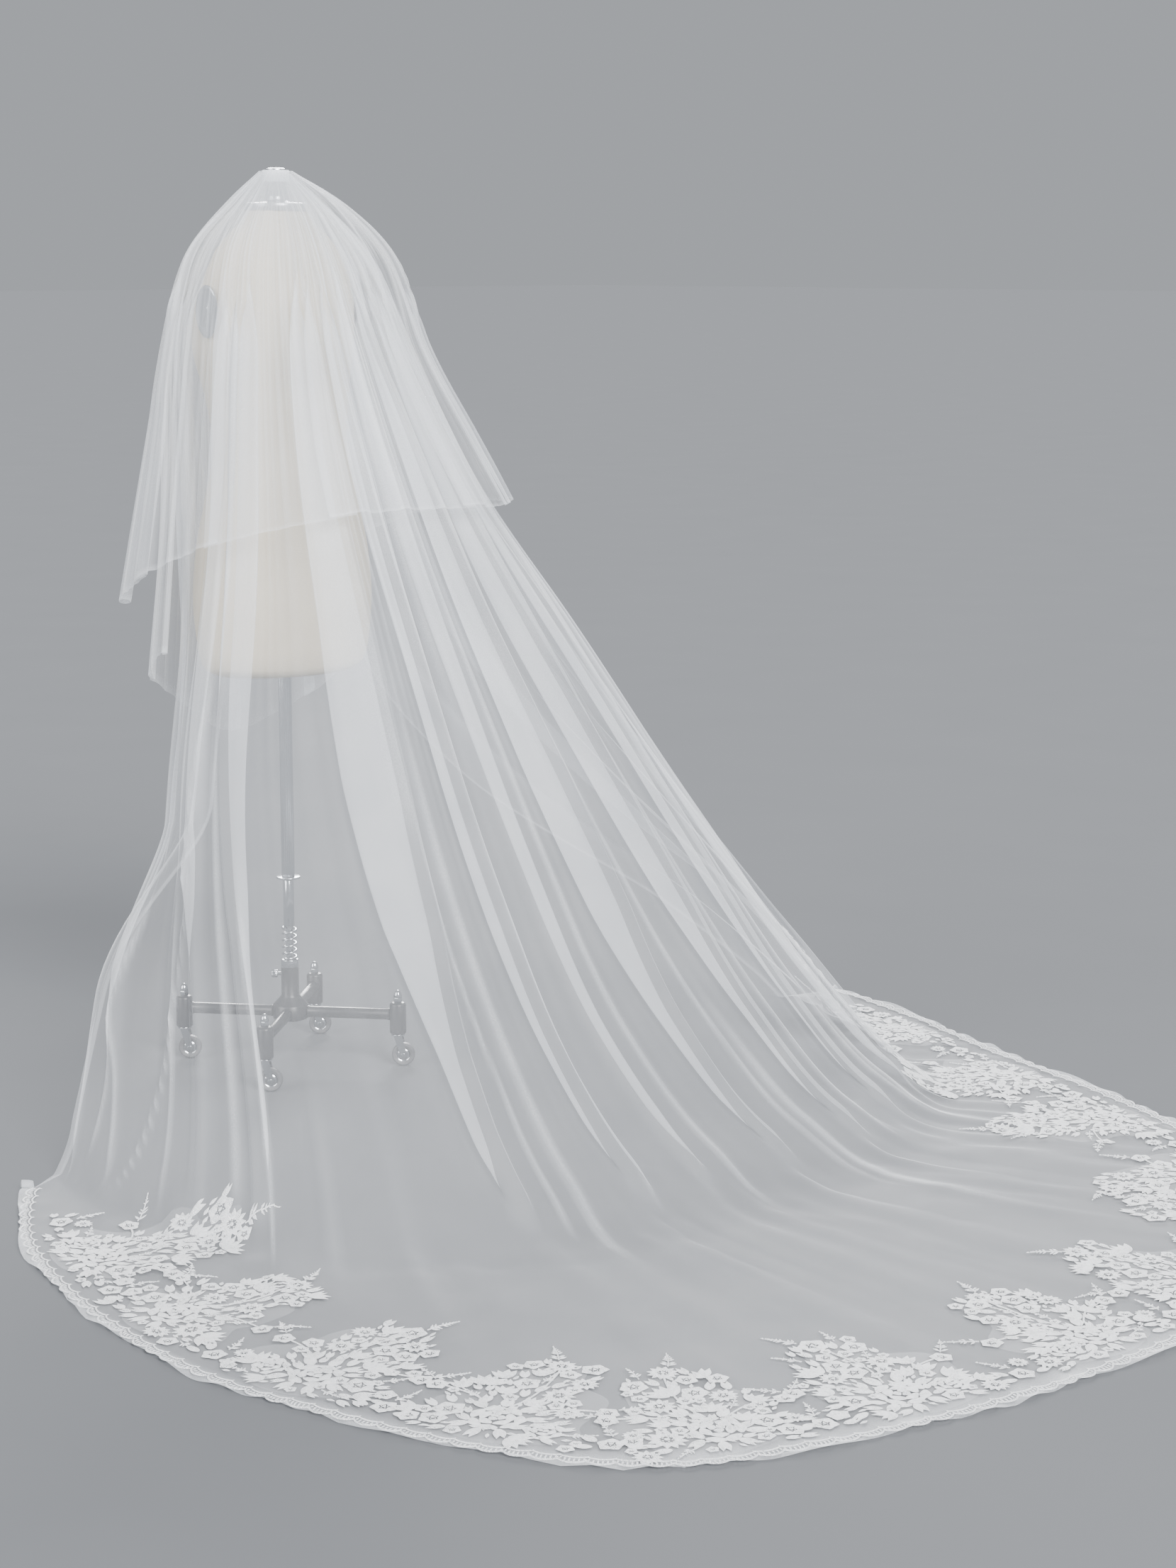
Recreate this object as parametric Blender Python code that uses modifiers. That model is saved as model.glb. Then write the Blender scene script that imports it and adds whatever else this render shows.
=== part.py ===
"""Two-tier cathedral bridal veil worn on a limbless dress form with a castered stand.

The stand's pole is the local origin: +Z is up, the form faces -Y and the train runs to +Y,
so the wearer's left is +X. Every object hangs from one empty, which puts the middle of the
whole object's base at the world origin.

Each tier of the veil is a wall through level rings. A ring is read from ribs, the lines that
the cloth follows from the gather down to the hem, and knife folds are laid into it.
"""

import functools
import math

import bmesh
import bpy
from mathutils import Matrix, Vector
from mathutils.bvhtree import BVHTree

# Cloth
WALL = 0.002
SEAM = 0.0003
LACE_WALL = 0.0012

# Long tier: heights of its levels over the floor
LONG_LEVELS = {
    "gather": 1.486,
    "neck": 1.440,
    "shoulder": 1.350,
    "bust": 1.200,
    "waist": 1.000,
    "hip": 0.750,
    "knee": 0.450,
    "shin": 0.200,
    "ankle": 0.060,
    "landing": 0.0,
    "hem": 0.0,
}
LONG_GATHER_REACH = 0.0239

# A rib: its place across the cloth, 1 at the left front edge and -1 at the right one, then its
# direction from straight back towards the wearer's left at three heights, then its reach from
# the pole at each level under the gather
RIB_COLUMNS = (
    "across", "top", "hip_turn", "hem_turn",
    "neck", "shoulder", "bust", "waist", "hip", "knee", "shin", "ankle", "landing", "hem",
)
LONG_RIBS = (
    (1.00, 140, 178, 68.5, .060, .112, .160, .155, .148, .130, .400, .640, .725, .783),
    (0.90, 115, 125, 61.0, .064, .128, .166, .160, .152, .198, .510, .720, .820, .995),
    (0.80, 85, 85, 54.1, .068, .143, .172, .174, .205, .310, .580, .790, .905, 1.170),
    (0.55, 55, 50, 39.5, .068, .140, .166, .200, .280, .470, .730, .930, 1.060, 1.556),
    (0.28, 28, 24, 23.2, .066, .128, .168, .235, .360, .550, .800, 1.000, 1.150, 1.845),
    (0.00, 0, 0, 4.4, .066, .122, .175, .260, .385, .570, .780, .980, 1.160, 1.835),
    (-0.28, -25, -20, -14.9, .066, .128, .190, .290, .440, .650, .860, 1.020, 1.180, 1.790),
    (-0.55, -50, -45, -30.2, .068, .143, .205, .302, .470, .672, .872, 1.020, 1.150, 1.480),
    (-0.80, -80, -72, -50.0, .068, .148, .186, .260, .410, .640, .850, .965, 1.030, 1.190),
    (-1.00, -115, -105, -71.6, .066, .138, .174, .180, .200, .420, .760, .920, .985, 1.085),
)

# A knife fold: its place across the cloth at the top and at the hem, the side that its upper
# layer leans to, its depth, and the width of its three-layer band at four levels
FOLD_COLUMNS = ("at_top", "at_hem", "lean", "depth", "bust", "hip", "knee", "shin")
LONG_FOLDS = (
    (0.84, 0.92, 1, .012, .020, .046, .040, .020),
    (0.70, 0.71, 1, .014, .016, .022, .014, .010),
    (0.55, 0.58, -1, .013, .028, .042, .024, .012),
    (0.30, 0.26, 1, .018, .030, .080, .070, .040),
    (0.14, 0.09, 1, .014, .014, .016, .018, .020),
    (0.00, -0.02, -1, .014, .012, .018, .014, .010),
    (-0.14, -0.12, 1, .015, .018, .048, .052, .036),
    (-0.28, -0.26, 1, .015, .020, .050, .052, .030),
    (-0.43, -0.40, 1, .015, .020, .046, .044, .026),
    (-0.58, -0.56, -1, .014, .018, .040, .040, .024),
    (-0.73, -0.72, 1, .014, .016, .040, .038, .020),
    (-0.88, -0.88, -1, .013, .014, .030, .036, .018),
)
LONG_RINGS = (0, 0.5, 1.2, 2, 3, 4, 5, 5.6, 6.2, 6.7, 7.2, 7.7, 8.2, 8.6, 9, 10)

# Short tier, back fall: the height of its hem is a rib's last column
BACK_LEVELS = {
    "gather": 1.4904,
    "neck": 1.442,
    "shoulder": 1.352,
    "bust": 1.200,
    "waist": 1.060,
    "hem": None,
}
BACK_GATHER_REACH = 0.0267
SHORT_COLUMNS = (
    "across", "top", "hip_turn", "hem_turn",
    "neck", "shoulder", "bust", "waist", "hem", "hem_height",
)
BACK_RIBS = (
    (1.00, 118, 118, 116, .078, .149, .192, .220, .272, 0.800),
    (0.70, 88, 88, 88, .080, .165, .206, .226, .258, 0.865),
    (0.35, 48, 48, 48, .086, .165, .200, .234, .276, 0.925),
    (0.00, 5, 4, 3, .092, .156, .210, .276, .336, 0.962),
    (-0.35, -35, -33, -32, .100, .182, .242, .320, .378, 0.955),
    (-0.70, -74, -72, -70, .098, .182, .228, .292, .352, 0.945),
    (-1.00, -112, -110, -108, .080, .162, .204, .226, .254, 0.880),
)
SHORT_FOLD_COLUMNS = ("at_top", "at_hem", "lean", "depth", "bust", "waist")
BACK_FOLDS = (
    (0.80, 0.80, 1, .011, .020, .030),
    (0.50, 0.48, -1, .011, .018, .026),
    (0.18, 0.14, 1, .012, .024, .036),
    (-0.16, -0.18, 1, .012, .020, .030),
    (-0.50, -0.52, -1, .011, .020, .034),
    (-0.82, -0.84, 1, .011, .016, .024),
)
BACK_RINGS = (0, 0.6, 1.2, 2, 3, 4, 4.5, 5)

# Short tier, front fall: directions are still from straight back, so 180 is straight ahead
FRONT_LEVELS = {
    "gather": 1.4882,
    "neck": 1.441,
    "shoulder": 1.351,
    "bust": 1.200,
    "waist": 0.980,
    "hem": None,
}
FRONT_GATHER_REACH = 0.0253
FRONT_RIBS = (
    (1.00, 252, 252, 252, .074, .148, .192, .212, .262, 0.690),
    (0.62, 226, 228, 230, .074, .142, .188, .198, .234, 0.600),
    (0.20, 190, 190, 192, .070, .122, .184, .182, .196, 0.545),
    (-0.20, 168, 166, 162, .070, .122, .184, .182, .196, 0.600),
    (-0.62, 130, 128, 128, .072, .136, .180, .188, .217, 0.665),
    (-1.00, 98, 98, 98, .075, .155, .192, .206, .232, 0.720),
)
FRONT_FOLDS = (
    (0.66, 0.62, 1, .008, .012, .018),
    (0.24, 0.22, 1, .009, .014, .020),
    (-0.24, -0.22, -1, .009, .014, .020),
    (-0.66, -0.62, -1, .008, .012, .018),
)
FRONT_RINGS = (0, 0.6, 1.2, 2, 3, 4, 4.5, 5)

# How a fold is laid: points across it as shares of its own cloth, with the lift of each as a
# share of the fold's depth; the cloth turns back at the second point and at the last one
FOLD_SHARE = 0.045
FOLD_TURN = 0.2
FOLD_STEPS = ((0.0, 0.0), (FOLD_TURN, 0.06), (0.36, 0.36), (0.64, 0.64), (1 - FOLD_TURN, 0.94))
FOLD_CREST_PAST = 0.003
FOLD_DROP = 0.016
FOLD_ROOM = 0.62

# How a fold fades: it opens and deepens over so many levels, and flattens towards the hem
FOLD_OPENS_OVER = 1.0
FOLD_DEEPENS_OVER = 0.6
FOLD_CLEAR_OF_HEM = 0.30
FOLD_FADE = 0.13
FOLD_RISE = 0.12
FLAT_UNDER = 0.06

# How finely the surface is read: steps across and along the cloth, along the hem, and the
# plain columns between folds
ACROSS_STEP = 0.004
LEVEL_STEP = 0.05
HEM_STEP = 0.01
HEM_STEPS = 160
PLAIN_STEP = 0.10

# Lace border and sprays on the train
SCALLOPS = 100
SCALLOP_REACH = 0.008
BORDER_WIDTH = 0.015
SPRAYS = 13
SPRAY_DEPTH = 0.270
SPRAY_HALF_WIDTH = 0.135
SPRAY_FROM_HEM = 0.022
SPRAY_LOBES = 6
SPRAY_POINTS = 24
SPRAY_RINGS = (1.0, 0.5)
SPRAY_MIDDLE = 0.4
SPRAY_ENDS = 0.86
SPRAY_NARROWING = 0.70
SPRAY_LOBE_WIDTH = 0.15
SPRAY_LOBE_DEPTH = 0.07
ABOVE_ALL = 3.0
SLOPE_LIFT = 0.006
SLOPE_RISE = 0.012

# Heading that holds the gathers
HEADING_INNER = 0.0180
HEADING_OUTER = 0.0222
HEADING_LOW = 1.474
HEADING_HIGH = 1.4935

# Dress form: half width, half depth and forward lean of the torso at each height
TORSO_COLUMNS = ("height", "half_width", "half_depth", "forward")
TORSO_SECTIONS = (
    (0.676, .130, .092, .000),
    (0.688, .149, .104, .000),
    (0.720, .158, .112, .000),
    (0.800, .165, .118, .000),
    (0.880, .158, .113, .000),
    (0.960, .140, .100, .000),
    (1.050, .122, .088, .000),
    (1.130, .130, .096, .006),
    (1.210, .142, .114, .014),
    (1.270, .145, .104, .008),
    (1.320, .138, .080, .000),
    (1.360, .122, .062, -.002),
    (1.388, .096, .053, -.002),
    (1.408, .069, .049, -.001),
    (1.428, .052, .048, .000),
)
TORSO_SIDES = 20
NECK_CAP_RADIUS = 0.0525
NECK_CAP_LOW = 1.4283
NECK_CAP_HIGH = 1.4420
KNOB_RADIUS = 0.0172
KNOB_HIGH = 1.4970
ARM_PLATE_HALF_WIDTH = 0.028
ARM_PLATE_HALF_HEIGHT = 0.042
ARM_PLATE_THICKNESS = 0.003
ARM_PLATE_HEIGHT = 1.268
ARM_PLATE_FACE_SHARE = 0.86
ARM_PLATE_SIDES = 24
ARM_PLATE_CHECKS = 8
NECK_CAP_EDGE = 0.003

# Stand
POLE_UPPER_RADIUS = 0.0110
POLE_UPPER_LOW = 0.3235
FLANGE_RADIUS = 0.0205
FLANGE_THICKNESS = 0.0034
POLE_LOWER_RADIUS = 0.0092
POLE_CORE_RADIUS = 0.0060
SPRING_HIGH = 0.2360
SPRING_LOW = 0.1800
SPRING_RADIUS = 0.0113
SPRING_WIRE_RADIUS = 0.0021
SPRING_TURNS = 5
COLLAR_RADIUS = 0.0150
COLLAR_LOW = 0.1655
HUB_HIGH = 0.1650
HUB_TOP_RADIUS = 0.0150
HUB_RADIUS = 0.0300
HUB_LOW = 0.0760
ARM_RADIUS = 0.0095
ARM_HEIGHT = 0.0885
BASE_TURN = 52.5
CASTER_REACH = 0.1860
SLEEVE_RADIUS = 0.0140
SLEEVE_LOW = 0.0560
SLEEVE_HIGH = 0.1100
NUT_RADIUS = 0.0085
NUT_HIGH = 0.1310
FORK_PLATE_RADIUS = 0.0125
FORK_PLATE_THICKNESS = 0.0030
FORK_CHEEK_THICKNESS = 0.0018
FORK_HALF_GAP = 0.0090
FORK_HALF_DEPTH = 0.0070
AXLE_RADIUS = 0.0030
CHEEK_BELOW_AXLE = 0.0050
WHEEL_TRAIL = 0.0100
WHEEL_RADIUS = 0.0200
WHEEL_HALF_WIDTH = 0.0080
WHEEL_SIDES = 16
AXLE_HEIGHT = WHEEL_RADIUS * math.cos(math.pi / WHEEL_SIDES)
TRAIL_TURN = -45.0
SCREW_TURN = 135.0
SCREW_BELOW_TOP = 0.011
SCREW_REACH = 0.016
SCREW_RADIUS = 0.0065
HUB_CONE_HIGH = 0.1132
HUB_CONE_LOW = 0.0999
SLEEVE_EDGE = 0.004
NUT_DOME = ((0.5, 0.002), (0.9, 0.008), (1.0, 0.012))
AXLE_PROUD = 0.001
TYRE_SHOULDER_SHARE = 0.9
TYRE_TREAD_SHARE = 0.75
HUB_SIDES = 24
SLEEVE_SIDES = 16
NUT_SIDES = 12
AXLE_SIDES = 8

ROUND_SIDES = 16
MERGE = 0.00001

# Finishes
FINISH_COLUMNS = ("name", "colour", "roughness", "metallic", "alpha")
FINISHES = (
    ("tulle", (0.86, 0.90, 0.98), 0.6, 0.0, 0.45),
    ("lace", (0.93, 0.94, 0.97), 0.7, 0.0, 1.0),
    ("form_fabric", (0.80, 0.76, 0.66), 0.85, 0.0, 1.0),
    ("silver", (0.62, 0.64, 0.66), 0.35, 0.9, 1.0),
    ("chrome", (0.75, 0.76, 0.78), 0.12, 1.0, 1.0),
    ("black_metal", (0.02, 0.02, 0.025), 0.35, 0.4, 1.0),
    ("wheel_plastic", (0.10, 0.10, 0.11), 0.4, 0.0, 1.0),
)


class Curve:
    """A smooth curve through points, with no overshoot between them and flat past its ends."""

    def __init__(self, xs, ys):
        self.xs = list(xs)
        self.ys = list(ys)
        steps = [b - a for a, b in zip(self.xs, self.xs[1:])]
        rises = [(b - a) / s for a, b, s in zip(self.ys, self.ys[1:], steps)]
        self.slopes = [rises[0]]
        for before, after in zip(rises, rises[1:]):
            if before * after <= 0:
                self.slopes.append(0.0)
            else:
                self.slopes.append(2 * before * after / (before + after))
        self.slopes.append(rises[-1])

    def __call__(self, x):
        if x <= self.xs[0]:
            return self.ys[0]
        if x >= self.xs[-1]:
            return self.ys[-1]
        i = max(k for k, start in enumerate(self.xs) if start <= x)
        step = self.xs[i + 1] - self.xs[i]
        t = (x - self.xs[i]) / step
        low, high = self.ys[i], self.ys[i + 1]
        low_slope, high_slope = self.slopes[i] * step, self.slopes[i + 1] * step
        turn = t * t * (3 - 2 * t)
        return (
            low + (high - low) * turn
            + low_slope * t * (1 - t) ** 2
            - high_slope * t * t * (1 - t)
        )


def ease(x):
    """0 below 0, 1 above 1 and smooth between."""
    x = min(1.0, max(0.0, x))
    return x * x * (3 - 2 * x)


class Tier:
    """One fall of the veil: points on its plain surface, and the folds laid into it."""

    def __init__(self, levels, gather_reach, rib_columns, ribs, fold_columns, folds, turns_below):
        self.levels = list(levels)
        self.heights = list(levels.values())
        self.gather_reach = gather_reach
        self.ribs = [dict(zip(rib_columns, row)) for row in ribs]
        self.ribs.sort(key=lambda rib: rib["across"])
        self.folds = [dict(zip(fold_columns, row)) for row in folds]
        self.fold_levels = fold_columns[4:]
        self.turns_below = turns_below
        self.last = len(self.levels) - 1
        self.ring = functools.lru_cache(maxsize=None)(self._ring)
        self.hem = []
        for rib in self.ribs:
            heights = [rib["hem_height"] if h is None else h for h in self.heights]
            reaches = [gather_reach] + [rib[name] for name in self.levels[1:]]
            rib["height_at"] = Curve(range(self.last + 1), heights)
            rib["reach_at"] = Curve(range(self.last + 1), reaches)

    def turn(self, rib, height):
        """The direction of a rib at a height, in degrees."""
        top, middle, low = self.turns_below
        if height > middle:
            return rib["top"] + (rib["hip_turn"] - rib["top"]) * ease((top - height) / (top - middle))
        share = ease((middle - height) / (middle - low))
        return rib["hip_turn"] + (rib["hem_turn"] - rib["hip_turn"]) * share

    def _ring(self, level):
        across = [rib["across"] for rib in self.ribs]
        heights = [rib["height_at"](level) for rib in self.ribs]
        turns = [self.turn(rib, height) for rib, height in zip(self.ribs, heights)]
        reaches = [rib["reach_at"](level) for rib in self.ribs]
        return Curve(across, turns), Curve(across, reaches), Curve(across, heights)

    def point(self, across, level):
        """A point on the plain surface, in the middle of the wall."""
        turns, reaches, heights = self.ring(round(level, 5))
        turn = math.radians(turns(across))
        reach = reaches(across)
        height = heights(across) + WALL / 2
        return Vector((reach * math.sin(turn), reach * math.cos(turn), height))

    def frame(self, across, level):
        """Metres of ring for each unit across, and the direction straight out of the cloth."""
        step = ACROSS_STEP
        low, high = max(0.0, level - LEVEL_STEP), min(self.last, level + LEVEL_STEP)
        side = (self.point(across + step, level) - self.point(across - step, level)) / (2 * step)
        if across + step > 1 or across - step < -1:
            side = side * 2
        down = self.point(across, high) - self.point(across, low)
        out = side.cross(down).normalized()
        point = self.point(across, level)
        if out.dot(Vector((point.x, point.y, 0)).normalized() + Vector((0, 0, 1))) < 0:
            out = -out
        return side.length, out

    def plan_distance(self, place):
        """How far a place lies from the floor hem, seen from above."""
        if not self.hem:
            count = HEM_STEPS
            points = [self.point(1.0 - 2.0 * i / count, self.last) for i in range(count + 1)]
            self.hem = [Vector((point.x, point.y)) for point in points]
        return min((Vector((place.x, place.y)) - point).length for point in self.hem)

    def surface(self, across, level, lift):
        """A point on the plain surface, moved out of it by a lift."""
        return self.point(across, level) + self.frame(across, level)[1] * lift

    def centre_of(self, fold, level):
        share = level / self.last
        return fold["at_top"] + (fold["at_hem"] - fold["at_top"]) * share

    def band_at(self, fold, level):
        """The width of a fold's band, read through the levels that its row names."""
        levels = [self.levels.index(name) for name in self.fold_levels]
        return Curve(levels, [fold[name] for name in self.fold_levels])(level)

    def fold_path(self, fold, level):
        """The points across one fold in a ring: their place across the cloth and their lift."""
        centre = self.centre_of(fold, level)
        metres, _ = self.frame(centre, level)
        others = [abs(self.centre_of(other, level) - centre) for other in self.folds if other is not fold]
        room = FOLD_ROOM * min(others) * metres
        own = min(FOLD_SHARE * metres, room / 2)
        open_low, flat_low = 1.0, 1.0
        if self.heights[-1] is not None:
            here = self.point(centre, level)
            left = self.plan_distance(here) - FOLD_CLEAR_OF_HEM
            open_low = ease((here.z - FLAT_UNDER) / FOLD_RISE) * ease((left - FOLD_FADE) / FOLD_FADE)
            flat_low = ease((here.z - WALL) / FLAT_UNDER) * ease(left / FOLD_FADE)
        shoulder = self.levels.index("shoulder")
        open_top = ease((level - shoulder) / FOLD_OPENS_OVER)
        flat_top = ease(level / (shoulder + FOLD_DEEPENS_OVER))
        band = min(self.band_at(fold, level), room)
        peak = math.sin(2 * math.pi * FOLD_TURN)
        swing = (band + (1 - 2 * FOLD_TURN) * own) / (2 * peak) * open_low * open_top
        depth = fold["depth"] * flat_low * flat_top
        path = [
            (own * (share - 0.5) + swing * math.sin(2 * math.pi * share), depth * lift)
            for share, lift in FOLD_STEPS
        ]
        crest = max(own / 2, peak * swing + FOLD_CREST_PAST * open_top)
        drop = min(FOLD_DROP, room / 2)
        path += [(crest, depth), (crest + drop, 0.0)]
        if fold["lean"] < 0:
            path = [(-side, lift) for side, lift in reversed(path)]
        return [(centre - side / metres, lift) for side, lift in path]

    def ring_points(self, level):
        """All points of one ring, from the left edge to the right one."""
        places = [(1.0, 0.0)]
        before = 1.0
        for fold in self.folds + [None]:
            path = self.fold_path(fold, level) if fold else [(-1.0, 0.0)]
            at_hem = fold["at_hem"] if fold else -1.0
            between = max(0, round((before - at_hem) / PLAIN_STEP) - 1)
            start = places[-1][0]
            for i in range(between):
                places.append((start + (path[0][0] - start) * (i + 1) / (between + 1), 0.0))
            places += path
            before = at_hem
        return [self.surface(across, level, lift) for across, lift in places]


def material(name, colour, roughness, metallic=0.0, alpha=1.0):
    made = bpy.data.materials.new(name)
    made.use_nodes = True
    shader = made.node_tree.nodes["Principled BSDF"]
    shader.inputs["Base Color"].default_value = (*colour, 1.0)
    shader.inputs["Roughness"].default_value = roughness
    shader.inputs["Metallic"].default_value = metallic
    shader.inputs["Alpha"].default_value = alpha
    made.diffuse_color = (*colour, alpha)
    return made


def add_object(name, data, finish, smooth=True):
    """Puts a mesh or curve into the object's collection, under the root empty."""
    piece = bpy.data.objects.new(name, data)
    data.materials.append(finish)
    if smooth and isinstance(data, bpy.types.Mesh):
        data.shade_smooth()
        data.set_sharp_from_angle(angle=math.radians(40))
    COLLECTION.objects.link(piece)
    piece.parent = ROOT
    return piece


def mesh_from(bm, name):
    bmesh.ops.recalc_face_normals(bm, faces=bm.faces)
    data = bpy.data.meshes.new(name)
    bm.to_mesh(data)
    bm.free()
    return data


def grid_faces(bm, rows):
    """Quads between rows of vertices of the same length."""
    for row, below in zip(rows, rows[1:]):
        for i in range(len(row) - 1):
            bm.faces.new((row[i], row[i + 1], below[i + 1], below[i]))


def add_tier(name, tier, rings, finish):
    """A fall of cloth: an open surface through its rings, given its wall by Solidify.

    Returns the surface as a tree of facets, which what lies on the cloth is made from.
    """
    bm = bmesh.new()
    rows = [[bm.verts.new(point) for point in tier.ring_points(level)] for level in rings]
    grid_faces(bm, rows)
    bm.normal_update()
    facets = BVHTree.FromBMesh(bm)
    data = bpy.data.meshes.new(name)
    bm.to_mesh(data)
    bm.free()
    piece = add_object(name, data, finish)
    wall = piece.modifiers.new("wall", "SOLIDIFY")
    wall.thickness = WALL
    wall.offset = 0.0
    return facets


def slab_between(bm, low_rows, high_rows):
    """A closed slab between two grids of vertices of the same shape."""
    grid_faces(bm, low_rows)
    grid_faces(bm, high_rows)
    for low, high in ((low_rows[0], high_rows[0]), (low_rows[-1], high_rows[-1])):
        grid_faces(bm, [low, high])
    for i in (0, -1):
        grid_faces(bm, [[row[i] for row in low_rows], [row[i] for row in high_rows]])


def hem_frame(tier, across):
    """A point on the floor hem and the direction out of the train there."""
    here = tier.point(across, tier.last)
    ahead = tier.point(min(1.0, across + HEM_STEP), tier.last)
    behind = tier.point(max(-1.0, across - HEM_STEP), tier.last)
    along = ahead - behind
    out = Vector((along.y, -along.x, 0)).normalized()
    if out.dot(here) < 0:
        out = -out
    return here, out


def add_border(tier, finish):
    """The scalloped edging, laid on the train's hem."""
    low = WALL + SEAM
    bm = bmesh.new()
    inner, outer = [], []
    for i in range(2 * SCALLOPS + 1):
        across = 1.0 - i / SCALLOPS
        here, out = hem_frame(tier, across)
        reach = SCALLOP_REACH if i % 2 else 0.0
        for row, distance in ((inner, reach - BORDER_WIDTH), (outer, reach)):
            place = here + out * distance
            row.append((place.x, place.y))
    grids = []
    for height in (low, low + LACE_WALL):
        grids.append([[bm.verts.new((x, y, height)) for x, y in row] for row in (inner, outer)])
    slab_between(bm, *grids)
    return add_object("lace_border", mesh_from(bm, "lace_border"), finish, smooth=False)


def spray_outline(i):
    """One point of a spray's lobed outline: along the hem and in from it, as shares of its size."""
    angle = 2 * math.pi * i / SPRAY_POINTS
    inward = (1 - math.cos(angle)) / 2
    lobe = math.cos(SPRAY_LOBES * angle)
    along = math.sin(angle) * (1.0 - SPRAY_NARROWING * inward) * (1 + SPRAY_LOBE_WIDTH * lobe)
    return along, inward * (1 - SPRAY_LOBE_DEPTH + SPRAY_LOBE_DEPTH * lobe)


def over_train(train, x, y, lift):
    """A point over the train's own facets, moved out of them; on the slope it stands prouder."""
    place, out, _, _ = train.ray_cast(Vector((x, y, ABOVE_ALL)), Vector((0, 0, -1)))
    if out.z < 0:
        out = -out
    return place + out * (lift + SLOPE_LIFT * ease((place.z - WALL) / SLOPE_RISE))


def add_spray(tier, train, number, finish):
    """One floral motif: a lobed plate that follows the train's surface just above it."""
    middle = SPRAY_ENDS - number * 2.0 * SPRAY_ENDS / (SPRAYS - 1)
    here, out = hem_frame(tier, middle)
    side = Vector((-out.y, out.x, 0))
    bm = bmesh.new()
    outline = [spray_outline(i) for i in range(SPRAY_POINTS)] + [(0.0, SPRAY_MIDDLE)]
    layers = []
    for lift in (WALL / 2 + SEAM, WALL / 2 + SEAM + LACE_WALL):
        rings = []
        for share in SPRAY_RINGS:
            ring = []
            for along, inward in outline:
                depth = SPRAY_DEPTH * (SPRAY_MIDDLE + (inward - SPRAY_MIDDLE) * share)
                place = here - out * (SPRAY_FROM_HEM + depth) + side * along * share * SPRAY_HALF_WIDTH
                ring.append(bm.verts.new(over_train(train, place.x, place.y, lift)))
            rings.append(ring)
        centre = rings[0].pop()
        bm.verts.remove(rings[1].pop())
        layers.append(([ring + ring[:1] for ring in rings], centre))
    for rings, centre in layers:
        grid_faces(bm, rings)
        for a, b in zip(rings[-1], rings[-1][1:]):
            bm.faces.new((a, b, centre))
    grid_faces(bm, [layers[0][0][0], layers[1][0][0]])
    name = f"lace_spray_{number + 1:02d}"
    return add_object(name, mesh_from(bm, name), finish, smooth=False)


def turned(name, profile, finish, sides=ROUND_SIDES):
    """A turned solid: a profile of (radius, height) from the top down, spun about Z."""
    data = bpy.data.meshes.new(name)
    edges = [(i, i + 1) for i in range(len(profile) - 1)]
    data.from_pydata([(radius, 0, height) for radius, height in profile], edges, [])
    piece = add_object(name, data, finish, smooth=False)
    spin = piece.modifiers.new("spin", "SCREW")
    spin.steps = sides
    spin.render_steps = sides
    spin.use_merge_vertices = True
    spin.merge_threshold = MERGE
    spin.use_smooth_shade = True
    return piece


def add_torso(finish):
    """The form's body: a loft through oval sections."""
    rows = [dict(zip(TORSO_COLUMNS, row)) for row in TORSO_SECTIONS]
    bm = bmesh.new()
    rings = []
    for row in rows:
        ring = []
        for i in range(TORSO_SIDES):
            angle = 2 * math.pi * i / TORSO_SIDES
            x = row["half_width"] * math.cos(angle)
            y = row["half_depth"] * math.sin(angle) - row["forward"]
            ring.append(bm.verts.new((x, y, row["height"])))
        rings.append(ring)
    grid_faces(bm, [ring + ring[:1] for ring in rings])
    bm.faces.new(rings[0])
    bm.faces.new(rings[-1])
    return add_object("form_torso", mesh_from(bm, "form_torso"), finish)


def torso_half_width(height):
    rows = [dict(zip(TORSO_COLUMNS, row)) for row in TORSO_SECTIONS]
    heights = [row["height"] for row in rows]
    return Curve(heights, [row["half_width"] for row in rows])(height)


def add_arm_plate(name, side, finish):
    """An oval plate that closes an armhole."""
    bm = bmesh.new()
    bmesh.ops.create_cone(
        bm, cap_ends=True, segments=ARM_PLATE_SIDES, radius1=1.0, radius2=ARM_PLATE_FACE_SHARE,
        depth=ARM_PLATE_THICKNESS,
    )
    shape = Matrix.Diagonal((ARM_PLATE_HALF_HEIGHT, ARM_PLATE_HALF_WIDTH, 1.0, 1.0))
    bmesh.ops.transform(bm, matrix=shape, verts=bm.verts)
    piece = add_object(name, mesh_from(bm, name), finish, smooth=False)
    checks = ARM_PLATE_CHECKS
    reach = max(
        torso_half_width(ARM_PLATE_HEIGHT + ARM_PLATE_HALF_HEIGHT * i / checks)
        for i in range(-checks, checks + 1)
    )
    piece.location = (side * (reach + SEAM + ARM_PLATE_THICKNESS / 2), 0, ARM_PLATE_HEIGHT)
    piece.rotation_euler = (0, side * math.pi / 2, 0)
    return piece


def add_form(fabric, silver):
    add_torso(fabric)
    add_arm_plate("arm_plate_left", 1, silver)
    add_arm_plate("arm_plate_right", -1, silver)
    edge = NECK_CAP_EDGE
    turned(
        "neck_cap",
        (
            (0.0, KNOB_HIGH),
            (KNOB_RADIUS - edge, KNOB_HIGH),
            (KNOB_RADIUS, KNOB_HIGH - edge),
            (KNOB_RADIUS, NECK_CAP_HIGH + edge),
            (KNOB_RADIUS + edge, NECK_CAP_HIGH),
            (NECK_CAP_RADIUS - edge, NECK_CAP_HIGH),
            (NECK_CAP_RADIUS, NECK_CAP_HIGH - edge),
            (NECK_CAP_RADIUS, NECK_CAP_LOW),
            (0.0, NECK_CAP_LOW),
        ),
        silver,
    )


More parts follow.
